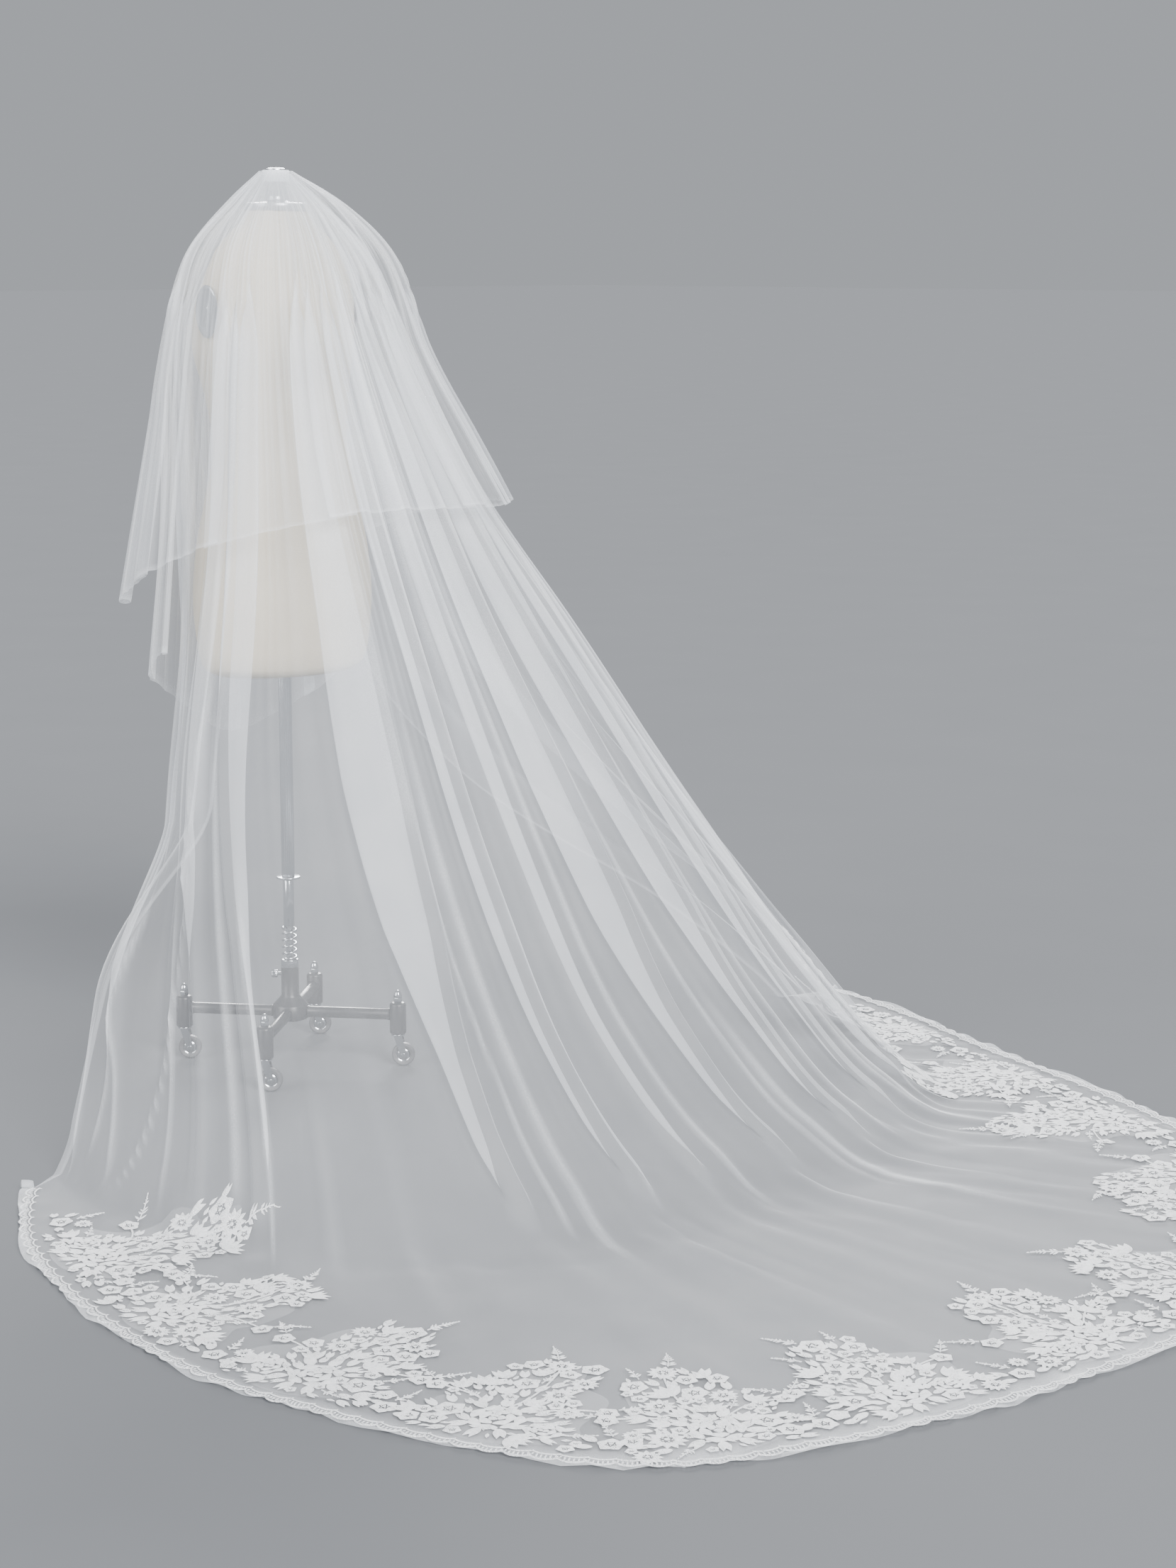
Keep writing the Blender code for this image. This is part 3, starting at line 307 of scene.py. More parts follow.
class Tier:
    """One fall of the veil, as in the solids: its plain surface and the folds laid into it."""

    def __init__(self, levels, gather_reach, rib_columns, ribs, fold_columns, folds, turns_below):
        self.levels = list(levels)
        self.heights = list(levels.values())
        self.ribs = sorted((dict(zip(rib_columns, row)) for row in ribs), key=lambda rib: rib["across"])
        self.folds = [dict(zip(fold_columns, row)) for row in folds]
        self.fold_levels = fold_columns[4:]
        self.turns_below = turns_below
        self.last = len(self.levels) - 1
        self.on_floor = self.heights[-1] is not None
        self.ring = functools.lru_cache(maxsize=None)(self._ring)
        for rib in self.ribs:
            heights = [rib["hem_height"] if h is None else h for h in self.heights]
            reaches = [gather_reach] + [rib[name] for name in self.levels[1:]]
            rib["height_at"] = Curve(range(self.last + 1), heights)
            rib["reach_at"] = Curve(range(self.last + 1), reaches)
        if self.on_floor:
            self.hem = self.points(np.linspace(1, -1, HEM_STEPS + 1), self.last)[:, :2]

    def turn(self, rib, height):
        top, middle, low = self.turns_below
        if height > middle:
            return rib["top"] + (rib["hip_turn"] - rib["top"]) * ease((top - height) / (top - middle))
        share = ease((middle - height) / (middle - low))
        return rib["hip_turn"] + (rib["hem_turn"] - rib["hip_turn"]) * share

    def _ring(self, level):
        across = [rib["across"] for rib in self.ribs]
        heights = [float(rib["height_at"](level)) for rib in self.ribs]
        turns = [float(self.turn(rib, height)) for rib, height in zip(self.ribs, heights)]
        reaches = [float(rib["reach_at"](level)) for rib in self.ribs]
        return Curve(across, turns), Curve(across, reaches), Curve(across, heights)

    def points(self, across, level):
        """Points on the plain surface, in the middle of the solid's wall."""
        turns, reaches, heights = self.ring(round(float(level), 5))
        turn = np.radians(turns(across))
        reach = reaches(across)
        return np.stack((reach * np.sin(turn), reach * np.cos(turn), heights(across) + WALL / 2), axis=-1)

    def frames(self, across, level):
        """Metres of ring for each unit across, and the directions straight out of the cloth."""
        step = 0.004
        low, high = max(0.0, level - 0.05), min(self.last, level + 0.05)
        after, before = np.minimum(across + step, 1.0), np.maximum(across - step, -1.0)
        side = (self.points(after, level) - self.points(before, level)) / (after - before)[..., None]
        down = self.points(across, high) - self.points(across, low)
        out = unit(np.cross(side, down))
        here = self.points(across, level)
        here[..., 2] = 0
        guide = unit(here) + np.array((0.0, 0.0, 1.0))
        out = out * np.where((out * guide).sum(axis=-1) < 0, -1.0, 1.0)[..., None]
        return np.linalg.norm(side, axis=-1), out

    def plan_distance(self, place):
        return float(np.linalg.norm(self.hem - place[:2], axis=1).min())

    def centre_of(self, fold, level):
        return fold["at_top"] + (fold["at_hem"] - fold["at_top"]) * level / self.last

    def fold_path(self, fold, level):
        """The fine points across one fold in a ring: their place across the cloth and their lift."""
        centre = self.centre_of(fold, level)
        metres = float(self.frames(np.array([centre]), level)[0][0])
        others = [abs(self.centre_of(other, level) - centre) for other in self.folds if other is not fold]
        room = FOLD_ROOM * min(others) * metres
        own = min(FOLD_SHARE * metres, room / 2)
        open_low, flat_low, narrow_low = 1.0, 1.0, 1.0
        if self.on_floor:
            here = self.points(np.array([centre]), level)[0]
            left = self.plan_distance(here) - FOLD_CLEAR_OF_HEM
            open_low = ease((here[2] - FOLD_FLAT_UNDER) / FOLD_RISE) * ease((left - FOLD_FADE) / FOLD_FADE)
            flat_low = ease((here[2] - WALL) / FLAT_UNDER) * ease(left / FOLD_FADE)
            narrow_low = min(max((here[2] - FOLD_FLAT_UNDER) / FOLD_NARROWS_UNDER, 0.0), 1.0)
        shoulder = self.levels.index("shoulder")
        open_top = ease((level - shoulder) / FOLD_OPENS_OVER)
        flat_top = ease(level / (shoulder + FOLD_DEEPENS_OVER))
        named = [self.levels.index(name) for name in self.fold_levels]
        band = min(float(Curve(named, [fold[name] for name in self.fold_levels])(level)), room)
        peak = math.sin(2 * math.pi * FOLD_TURN)
        swing = (band * narrow_low + (1 - 2 * FOLD_TURN) * own) / (2 * peak) * open_low * open_top
        depth = fold["depth"] * flat_low * flat_top
        lift_at = Curve(*zip(*FOLD_STEPS, (1.0, 1.0)))
        path = [
            (own * (share - 0.5) + swing * math.sin(2 * math.pi * share), depth * float(lift_at(share)))
            for share in FOLD_SAMPLES
        ]
        crest = max(own / 2, peak * swing + FOLD_CREST_PAST * open_top)
        drop = min(FOLD_DROP, room / 2)
        start, lift = path[-1]
        for i in range(FOLD_TOP_SAMPLES):
            share = (i + 1) / FOLD_TOP_SAMPLES
            path.append((start + (crest - start) * share, lift + (depth - lift) * share))
        for i in range(FOLD_DROP_SAMPLES):
            share = (i + 1) / FOLD_DROP_SAMPLES
            path.append((crest + drop * share, depth * (1 + math.cos(math.pi * share)) / 2))
        if fold["lean"] < 0:
            path = [(-side, lift) for side, lift in reversed(path)]
        return [(centre - side / metres, lift) for side, lift in path]

    def places(self, level):
        """Every point of a fine ring: its place across the cloth and its lift."""
        places = [(1.0, 0.0)]
        for fold in self.folds + [None]:
            path = self.fold_path(fold, level) if fold else [(-1.0, 0.0)]
            start = places[-1][0]
            for i in range(PLAIN_SAMPLES):
                places.append((start + (path[0][0] - start) * (i + 1) / (PLAIN_SAMPLES + 1), 0.0))
            places += path
        return np.array(places).T


class Gathers:
    """Uneven fine pleats that start under the heading and die away down the cloth."""

    def __init__(self, count, seed):
        rng = random.Random(seed)
        edges = [0.0]
        for _ in range(count):
            edges.append(edges[-1] + rng.uniform(0.6, 1.5))
        self.phase = Curve([2 * edge / edges[-1] - 1 for edge in edges], range(count + 1))
        self.heights = Curve(
            [2 * i / count - 1 for i in range(count + 1)], [rng.uniform(0.45, 1.25) for _ in range(count + 1)]
        )
        self.at_level = Curve(GATHER_AT, GATHER_HEIGHT)

    def __call__(self, across, level):
        wave = np.cos(2 * np.pi * self.phase(across))
        return self.at_level(level) * self.heights(across) * wave


def crease_lift(creases, last, metres, across, level):
    """The height that the listed creases add to a ring, and how much cloth each one pinches."""
    lift = np.zeros_like(across)
    pinch = np.zeros_like(across)
    for row in creases:
        crease = dict(zip(CREASE_COLUMNS, row))
        run = ease((level - crease["start"]) / 1.2) * ease((crease["end"] - level) / 0.7)
        if crease["end"] >= last:
            run = ease((level - crease["start"]) / 1.2)
        centre = crease["at_top"] + (crease["at_hem"] - crease["at_top"]) * level / last
        away = (across - centre) * metres / crease["width"]
        lift += crease["height"] * run / (1 + away * away * (1 + 0.6 * away * away))
        if crease["height"] > 0:
            pinch += PINCHED * run * np.exp(-4.0 * away * away)
    return lift, pinch


def ripples(tier, across, level, points):
    """Soft folds and small puckers where the train lies on the floor."""
    near = ease((FLAT_UNDER - points[:, 2]) / FLAT_UNDER)
    to_hem = np.linalg.norm(tier.hem[None, :, :] - points[:, None, :2], axis=2).min(axis=1)
    off_hem = ease(to_hem / 0.10)
    x, y = points[:, 0], points[:, 1]
    radial = (
        np.sin(46 * across + 1.7 * np.sin(5 * across) + 0.8 * level)
        + 0.7 * np.sin(83 * across + 1.3 + 1.1 * level)
        + 0.5 * np.sin(131 * across + 2.1 * np.sin(9 * across))
    )
    fade = np.exp(-np.maximum(0.0, level - 8.6) * 1.4) * ease((level - 7.4) / 1.0)
    pucker = np.sin(31 * x + 3 * np.sin(17 * y)) * np.sin(37 * y + 2.4 * np.sin(13 * x)) + 0.5 * np.sin(
        71 * x + 53 * y + 2 * np.sin(23 * x)
    )
    lift = RIPPLE_HEIGHT * np.maximum(0.0, 0.35 + radial * 0.45) * fade
    lift += PUCKER_HEIGHT * np.maximum(0.0, 0.3 + 0.7 * pucker) * (0.35 + 0.65 * off_hem)
    return lift * near


def fine_rows(tier, creases, gathers, count, cut_width):
    """The rings of a tier as fine cloth, top to bottom, and how many layers deep it is gathered."""
    levels = np.linspace(0, tier.last, count)
    rows, layers = [], []
    for level in levels:
        across, lift = tier.places(level)
        metres, out = tier.frames(across, level)
        points = tier.points(across, level)
        creased, pinch = crease_lift(creases, tier.last, metres, across, level)
        pleat = gathers(across, level)
        fullness = np.maximum(cut_width / 2 / np.maximum(metres, 1e-3), 1.0) ** GATHER_POWER
        deep = np.minimum(fullness, MOST_LAYERS) * (1 + GATHER_SHARE * pleat / max(GATHER_HEIGHT))
        layers.append(deep * (1 + FOLD_FULLNESS * ease(lift / 0.008)) + pinch)
        lift = lift + creased + pleat
        if tier.on_floor:
            dry = ease((points[:, 2] - 0.004) / FLAT_UNDER)
            lift = lift * (0.12 + 0.88 * dry) + ripples(tier, across, level, points)
            lift = np.where(points[:, 2] < FLAT_UNDER, np.maximum(lift, -WALL / 4), lift)
        rows.append(points + out * lift[:, None])
    layers[-1] = layers[-1] + HEM_EDGE_LAYERS
    return np.array(rows), np.array(layers)


def add_frill(tier, rows):
    """The tulle runs on past the lace as a narrow wavy frill."""
    hem = rows[-1]
    side = np.gradient(hem, axis=0)
    out = unit(np.stack((side[:, 1], -side[:, 0], np.zeros(len(hem))), axis=-1))
    out *= np.where((out * hem).sum(axis=-1) < 0, -1.0, 1.0)[:, None]
    run = np.concatenate(((0,), np.cumsum(np.linalg.norm(np.diff(hem, axis=0), axis=1))))
    wave = np.sin(run * 61 + 2 * np.sin(run * 13))
    extra = []
    for share in (0.4, 0.75, 1.0):
        row = hem + out * (FRILL * share * (0.75 + 0.35 * np.sin(run * 23 + 1.2)))[:, None]
        row[:, 2] = hem[:, 2] * (1 - share) + 0.0012 + share * 0.0028 * (1 + wave)
        extra.append(row)
    return np.concatenate((rows, np.array(extra)))


def roll_edge(rows, start_level_share, radius, turns, inward):
    """Columns that carry a free edge on into a loose roll, which opens out from the top down."""
    count = 10
    edge = rows[:, 0] if inward > 0 else rows[:, -1]
    inner = rows[:, 4] if inward > 0 else rows[:, -5]
    along = unit(edge - inner)
    down = unit(np.gradient(edge, axis=0))
    normal = unit(np.cross(along, down))
    radial = edge.copy()
    radial[:, 2] = 0
    normal *= np.where((normal * radial).sum(axis=-1) > 0, -1.0, 1.0)[:, None]
    share = np.linspace(0, 1, len(rows))
    size = radius * ease((share - start_level_share) / (1 - start_level_share)) + 0.0006
    columns = []
    for i in range(1, count + 1):
        angle = turns * 2 * math.pi * i / count
        tight = size * (1 - 0.25 * i / count)
        column = edge + along * (tight * math.sin(angle))[:, None]
        column += normal * (tight * (1 - math.cos(angle)))[:, None]
        column[:, 2] = np.maximum(column[:, 2], ROLL_ON_FLOOR + ROLL_LAYER * i)
        columns.append(column)
    columns = np.array(columns).transpose(1, 0, 2)
    if inward > 0:
        return np.concatenate((columns[:, ::-1], rows), axis=1)
    return np.concatenate((rows, columns), axis=1)


def new_piece(name, data, finish, body=STAND):
    piece = bpy.data.objects.new(name, data)
    bpy.context.scene.collection.objects.link(piece)
    data.materials.append(finish)
    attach(piece, body)
    return piece


def grid_piece(name, rows, layers, finish):
    """A smooth open sheet through a grid of points, with its number of layers at each."""
    height, width = rows.shape[:2]
    data = bpy.data.meshes.new(name)
    index = np.arange(height * width).reshape(height, width)
    quads = np.stack((index[:-1, :-1], index[:-1, 1:], index[1:, 1:], index[1:, :-1]), axis=-1).reshape(-1, 4)
    points = rows.reshape(-1, 3) + np.array(ORIGIN)
    data.from_pydata(points.tolist(), [], quads.tolist())
    data.shade_smooth()
    added = height - layers.shape[0]
    rolled = (width - layers.shape[1]) // 2
    layers = np.pad(layers, ((0, added), (rolled, rolled)), mode="edge")
    depth = data.attributes.new("layers", "FLOAT", "POINT")
    depth.data.foreach_set("value", layers.astype(np.float32).ravel())
    return new_piece(name, data, finish)


# Materials

TULLE_COVER = 0.085
SLANT_SHARE = 0.34
NET_CELL = 0.0014


# A mix node's sockets for colours
COLOUR_INPUTS = (6, 7)
COLOUR_OUTPUT = 2


class Nodes:
    """A short way to wire a material's nodes."""

    def __init__(self, name):
        self.material = bpy.data.materials.new(name)
        self.material.use_nodes = True
        self.tree = self.material.node_tree
        self.shader = self.tree.nodes["Principled BSDF"]

    def add(self, kind, values=(), **settings):
        node = self.tree.nodes.new(kind)
        for key, value in settings.items():
            setattr(node, key, value)
        for key, value in dict(values).items():
            self.feed(node.inputs[key], value)
        return node

    def feed(self, socket, value):
        if isinstance(value, bpy.types.NodeSocket):
            self.tree.links.new(value, socket)
        else:
            socket.default_value = value

    def math(self, operation, first, second=0.0, third=0.0):
        node = self.add("ShaderNodeMath", operation=operation)
        for socket, value in zip(node.inputs, (first, second, third)):
            self.feed(socket, value)
        return node.outputs[0]

    def spread(self, value, low, high):
        """A texture's 0 to 1 as low to high."""
        node = self.add("ShaderNodeMapRange", {"Value": value, "To Min": low, "To Max": high})
        return node.outputs["Result"]

    def blend(self, factor, low, high):
        node = self.add("ShaderNodeMix", data_type="RGBA")
        self.feed(node.inputs[0], factor)
        self.feed(node.inputs[COLOUR_INPUTS[0]], (*low, 1.0))
        self.feed(node.inputs[COLOUR_INPUTS[1]], (*high, 1.0))
        return node.outputs[COLOUR_OUTPUT]

    def place(self):
        return self.add("ShaderNodeTexCoord").outputs["Object"]

    def bump(self, height, strength, distance):
        node = self.add(
            "ShaderNodeBump", {"Height": height, "Strength": strength, "Distance": distance}
        )
        self.feed(self.shader.inputs["Normal"], node.outputs["Normal"])

    def set(self, **values):
        for key, value in values.items():
            self.feed(self.shader.inputs[key.replace("_", " ")], value)


def tulle_material(name, cover, colour=(0.88, 0.92, 0.98)):
    """Sheer net: the more it is seen edge-on, the more of the view its threads cover."""
    net = Nodes(name)
    place = net.place()
    facing = net.add("ShaderNodeLayerWeight", {"Blend": 0.5}).outputs["Facing"]
    straight = net.math("MAXIMUM", net.math("SUBTRACT", 1.0, facing), 0.10)
    slant = net.math("MULTIPLY_ADD", net.math("DIVIDE", 1.0, straight), SLANT_SHARE, 1 - SLANT_SHARE)
    gathered = net.add("ShaderNodeAttribute", attribute_name="layers").outputs["Fac"]
    layers = net.math("MULTIPLY", net.math("MAXIMUM", gathered, 1.0), slant)
    seen = net.math("SUBTRACT", 1.0, net.math("POWER", 1.0 - cover, layers))
    mesh = net.add(
        "ShaderNodeTexVoronoi", {"Vector": place, "Scale": 1 / NET_CELL}, feature="DISTANCE_TO_EDGE"
    ).outputs["Distance"]
    thread = net.add(
        "ShaderNodeMapRange",
        {"Value": mesh, "From Min": 0.05, "From Max": 0.22, "To Min": 1.30, "To Max": 0.80},
    ).outputs["Result"]
    cloud = net.add("ShaderNodeTexNoise", {"Vector": place, "Scale": 9.0, "Detail": 3.0}).outputs["Fac"]
    uneven = net.spread(cloud, 0.82, 1.18)
    alpha = net.math("MINIMUM", net.math("MULTIPLY", net.math("MULTIPLY", seen, thread), uneven), 0.96)
    net.set(Base_Color=net.blend(cloud, colour, (0.95, 0.97, 1.0)), Roughness=0.62, Alpha=alpha)
    net.set(Sheen_Weight=0.25, Sheen_Roughness=0.4)
    net.bump(mesh, 0.25, 0.0004)
    return net.material


def lace_material():
    """Raised white embroidery: satin stitches with the net showing between some of them; the white thread is painted
    grey-blue where the stitch relief is low, as painted shade in the grooves, with a random grain mixed in.
    """
    lace = Nodes("lace_thread")
    place = lace.place()
    grain = lace.add("ShaderNodeTexNoise", {"Vector": place, "Scale": 210.0, "Detail": 4.0}).outputs["Fac"]
    patch = lace.add("ShaderNodeTexNoise", {"Vector": place, "Scale": 60.0, "Detail": 2.0}).outputs["Fac"]
    stitch = lace.add(
        "ShaderNodeTexWave",
        {"Vector": place, "Scale": 170.0, "Distortion": 9.0, "Detail": 2.0, "Detail Scale": 1.6},
    ).outputs["Fac"]
    stitch_height_and_shade = lace.math("MULTIPLY_ADD", stitch, 0.55, lace.math("MULTIPLY", grain, 0.6))
    # Painted shade: the thread turns grey-blue where the stitch relief is low, in the grooves between stitches; the
    # grain mixed in is random tone
    lace.set(Base_Color=lace.blend(stitch_height_and_shade, (0.60, 0.63, 0.68), (1.0, 1.0, 1.0)), Roughness=0.62)
    solid = lace.add(
        "ShaderNodeMapRange",
        {"Value": lace.math("ADD", stitch_height_and_shade, patch), "From Min": 0.62, "From Max": 0.95, "To Min": 0.45},
    ).outputs["Result"]
    lace.set(Alpha=solid, Sheen_Weight=0.2)
    lace.bump(stitch_height_and_shade, 0.8, 0.0008)
    return lace.material


def fabric_material():
    """The form's cover: a warm ivory jersey with a fine knit."""
    cover = Nodes("ivory_jersey")
    place = cover.place()
    cloud = cover.add("ShaderNodeTexNoise", {"Vector": place, "Scale": 14.0, "Detail": 5.0}).outputs["Fac"]
    rows = cover.add(
        "ShaderNodeTexWave", {"Vector": place, "Scale": 190.0, "Distortion": 1.5}, bands_direction="Z"
    ).outputs["Fac"]
    ribs = cover.add(
        "ShaderNodeTexWave", {"Vector": place, "Scale": 230.0, "Distortion": 1.0}, bands_direction="X"
    ).outputs["Fac"]
    knit = cover.math("MULTIPLY", rows, ribs)
    cover.set(Base_Color=cover.blend(cloud, (0.66, 0.58, 0.44), (0.76, 0.68, 0.54)), Roughness=0.88)
    cover.set(Sheen_Weight=0.3)
    cover.bump(knit, 0.5, 0.0004)
    return cover.material


def metal_material(name, colour, roughness, spread, metallic=1.0):
    """Metal or paint, with the faint smears and fine marks of handling."""
    metal = Nodes(name)
    place = metal.place()
    smear = metal.add("ShaderNodeTexNoise", {"Vector": place, "Scale": 60.0, "Detail": 6.0}).outputs["Fac"]
    fine = metal.add("ShaderNodeTexNoise", {"Vector": place, "Scale": 900.0, "Detail": 2.0}).outputs["Fac"]
    darker = tuple(0.82 * value for value in colour)
    metal.set(Base_Color=metal.blend(smear, darker, colour), Metallic=metallic)
    metal.set(Roughness=metal.spread(smear, roughness - spread, roughness + spread))
    metal.bump(fine, 0.08, 0.0002)
    return metal.material


def plastic_material():
    plastic = Nodes("wheel_plastic")
    place = plastic.place()
    dust = plastic.add("ShaderNodeTexNoise", {"Vector": place, "Scale": 90.0, "Detail": 5.0}).outputs["Fac"]
    plastic.set(Base_Color=plastic.blend(dust, (0.05, 0.05, 0.055), (0.13, 0.13, 0.135)))
    plastic.set(Roughness=plastic.spread(dust, 0.35, 0.6))
    plastic.bump(dust, 0.15, 0.0003)
    return plastic.material


# Lace

SCALLOPS = 128
SCALLOP_REACH = 0.008
BORDER_WIDTH = 0.015
RUNGS_A_SCALLOP = 6
LACE_LIFT = 0.0016
SPRAYS = 13
SPRAY_ENDS = 0.86
SPRAY_FROM_HEM = 0.022
NET_PAST_SPRAY = 0.004
SPRAY_DEPTH = 0.270
SPRAY_HALF_WIDTH = 0.135


class Pattern:
    """Flat lace work in the plane of one spray: points as (along the hem, in from it, height)."""

    def __init__(self):
        self.points = []
        self.faces = []

    def fan(self, outline, centre):
        """A patch with its middle raised."""
        start = len(self.points)
        self.points += [centre] + outline
        count = len(outline)
        self.faces += [(start, start + 1 + i, start + 1 + (i + 1) % count) for i in range(count)]

    def petal(self, x, y, angle, length, width, pointed=0.0, lift=0.0, start=0.0):
        """A petal or leaf from near (x, y) outwards, rounder or more pointed, with a crowned middle."""
        steps = 7
        outline = []
        for i in range(2 * steps):
            share = i / steps if i <= steps else 2 - i / steps
            side = 1 if i <= steps else -1
            round_form = math.sin(math.pi * share ** 0.75)
            leaf_form = math.sin(math.pi * share ** 0.9) ** (1 + pointed)
            half = side * width / 2 * ((1 - pointed) * round_form + pointed * leaf_form)
            along = start + (length - start) * share
            outline.append(
                (x + along * math.cos(angle) - half * math.sin(angle),
                 y + along * math.sin(angle) + half * math.cos(angle), lift)
            )
        middle = start + (length - start) * 0.5
        self.fan(outline, (x + middle * math.cos(angle), y + middle * math.sin(angle), lift + 0.0016))

    def dot(self, x, y, radius, lift=0.0):
        sides = 7
        ring = [
            (x + radius * math.cos(2 * math.pi * i / sides), y + radius * math.sin(2 * math.pi * i / sides), lift)
            for i in range(sides)
        ]
        self.fan(ring, (x, y, lift + 0.0012))

    def flower(self, x, y, radius, petals, turn=0.0, width=0.9, pointed=0.0):
        """An open flower: petals with slits of net between them, a dark ring and a seeded middle."""
        pitch = 2 * math.pi / petals
        broad = 2 * radius * math.sin(pitch / 2) * width * 0.88
        for i in range(petals):
            self.petal(x, y, turn + i * pitch, radius, broad, pointed, start=0.28 * radius)
        self.dot(x, y, 0.15 * radius, 0.0006)
        for i in range(5):
            angle = turn + pitch / 2 + i * 2 * math.pi / 5
            self.dot(x + 0.24 * radius * math.cos(angle), y + 0.24 * radius * math.sin(angle), 0.05 * radius)

    def daisy(self, x, y, radius, turn=0.0):
        self.flower(x, y, radius, 12, turn, 0.84, 0.2)

    def rose(self, x, y, radius, turn=0.0):
        """A full rose: three rings of broad petals round a rolled heart."""
        for ring, (count, reach, start, breadth) in enumerate(
            ((7, 1.0, 0.56, 0.86), (5, 0.66, 0.26, 0.80), (3, 0.34, 0.03, 0.60))
        ):
            for i in range(count):
                angle = turn + 0.5 * ring + 2 * math.pi * (i + 0.12 * math.sin(3.0 * i)) / count
                broad = 2 * radius * reach * math.sin(math.pi / count) * breadth
                self.petal(x, y, angle, radius * reach, broad, 0.0, 0.0007 * ring, start * radius)
        self.dot(x, y, 0.07 * radius, 0.0024)

    def leaf(self, x, y, angle, length):
        """A pointed leaf in two halves, with the net showing along its midrib."""
        gap = 0.035 * length
        for side in (-1, 1):
            self.petal(
                x - side * gap * math.sin(angle), y + side * gap * math.cos(angle),
                angle + side * 0.12, length, 0.36 * length, 0.35,
            )

    def stem(self, points, width=0.0028):
        """A raised cord along a smooth line."""
        line = [Vector(point) for point in points]
        start = len(self.points)
        for i, point in enumerate(line):
            ahead = line[min(i + 1, len(line) - 1)] - line[max(i - 1, 0)]
            side = Vector((-ahead.y, ahead.x)).normalized() * width / 2
            self.points += [
                (point.x + side.x, point.y + side.y, 0.0), (point.x, point.y, 0.0013),
                (point.x - side.x, point.y - side.y, 0.0),
            ]
        for i in range(len(line) - 1):
            for j in (0, 1):
                a = start + 3 * i + j
                self.faces.append((a, a + 1, a + 4, a + 3))

    def fern(self, x, y, angle, length, pairs=6):
        """A frond: a bent rib with pairs of small leaflets that shorten towards the tip."""
        rib = bent(x, y, angle, length, 0.25)
        self.stem(rib, 0.0020)
        for i in range(pairs):
            share = (i + 1.0) / (pairs + 0.6)
            at = rib[min(len(rib) - 1, round(share * (len(rib) - 1)))]
            small = 0.30 * length * (1.15 - share)
            for side in (-1, 1):
                self.petal(at[0], at[1], angle + side * 0.95 + 0.25 * share, small, 0.32 * small, 0.4)
        self.petal(rib[-1][0], rib[-1][1], angle + 0.25, 0.14 * length, 0.05 * length, 0.5)


def bent(x, y, angle, length, bend, steps=8):
    """Points along a line that turns steadily by a bend, in radians."""
    points = [(x, y)]
    for i in range(steps):
        heading = angle + bend * (i + 0.5) / steps
        from_x, from_y = points[-1]
        points.append(
            (from_x + length / steps * math.cos(heading), from_y + length / steps * math.sin(heading))
        )
    return points


def spray_reach(inward):
    """Half the width of a spray's outline at a distance in from the hem."""
    share = min(1.0, max(0.0, inward / SPRAY_DEPTH))
    return SPRAY_HALF_WIDTH * (1 - 0.70 * share ** 0.8) * (1 - 0.10 * math.sin(22 * share))


FILL_SIZES = ((0.019, 6), (0.0155, 12), (0.012, 26), (0.009, 34), (0.0068, 26))
FILL_TRIES = 60
FILL_CLOSE = 0.80


def spray_pattern(number):
    """One floral spray: roses near the hem, a stem that climbs inwards, and flowers and leaves round them."""
    rng = random.Random(400 + number)
    lace = Pattern()
    lean = -1 if number % 2 else 1
    kind = number % 3
    up = math.pi / 2
    taken = []

    def put(draw, x, y, radius, *extra):
        taken.append((x, y, radius))
        draw(x, y, *extra)

    heart = (0.014 * lean, 0.064)
    second = (heart[0] - 0.066 * lean, 0.054)
    put(lace.rose, *heart, 0.034, 0.037, 0.4 * number)
    put(lace.rose if kind != 1 else lace.daisy, *second, 0.024, 0.026, 0.7)
    put(lace.flower, heart[0] + 0.066 * lean, 0.070, 0.020, 0.022, 5, 0.5 + number)
    top = bent(heart[0], heart[1] + 0.036, up + 0.30 * lean, 0.150, -0.60 * lean)
    lace.stem(top)
    put(lace.daisy, top[3][0] - 0.028 * lean, top[3][1], 0.020, 0.022, 0.2)
    put(lace.flower, top[4][0] + 0.026 * lean, top[4][1] + 0.004, 0.017, 0.019, 5, 0.9)
    put(lace.daisy if kind != 2 else lace.flower, *top[-1], 0.018, 0.021, *(() if kind != 2 else (5, 0.4)))
    for side in (-1, 1):
        arm = bent(heart[0] + 0.026 * side, heart[1] + 0.030, up - 0.75 * side, 0.098, -0.85 * side)
        lace.stem(arm)
        put(lace.flower, *arm[-1], 0.014, 0.016, 5, 0.3 + side)
        lace.fern(arm[-1][0] + 0.008 * side, arm[-1][1] + 0.014, up - 0.8 * side, 0.042, 5)
    lace.fern(top[-1][0] + 0.012 * lean, top[-1][1] + 0.016, up - 0.45 * lean, 0.044)
    for i in range(9):
        turned = 2 * math.pi * i / 9 + 0.35
        x, y = heart[0] + 0.046 * math.cos(turned), heart[1] + 0.046 * math.sin(turned)
        if all(math.hypot(x - tx, y - ty) > tr + 0.008 for tx, ty, tr in taken[1:]):
            lace.leaf(heart[0] + 0.033 * math.cos(turned), heart[1] + 0.033 * math.sin(turned), turned, 0.030)
            taken.append((x, y, 0.010))
    for size, wanted in FILL_SIZES:
        for i in range(wanted):
            for _ in range(FILL_TRIES):
                y = rng.uniform(0.012, SPRAY_DEPTH - 0.012)
                half = spray_reach(y)
                x = rng.uniform(-half, half) + 0.022 * lean * math.sin(math.pi * y / SPRAY_DEPTH)
                if all(math.hypot(x - tx, y - ty) > FILL_CLOSE * (size + tr) for tx, ty, tr in taken):
                    fill_spot(lace, rng, x, y, size, heart, i)
                    taken.append((x, y, size))
                    break
    return lace


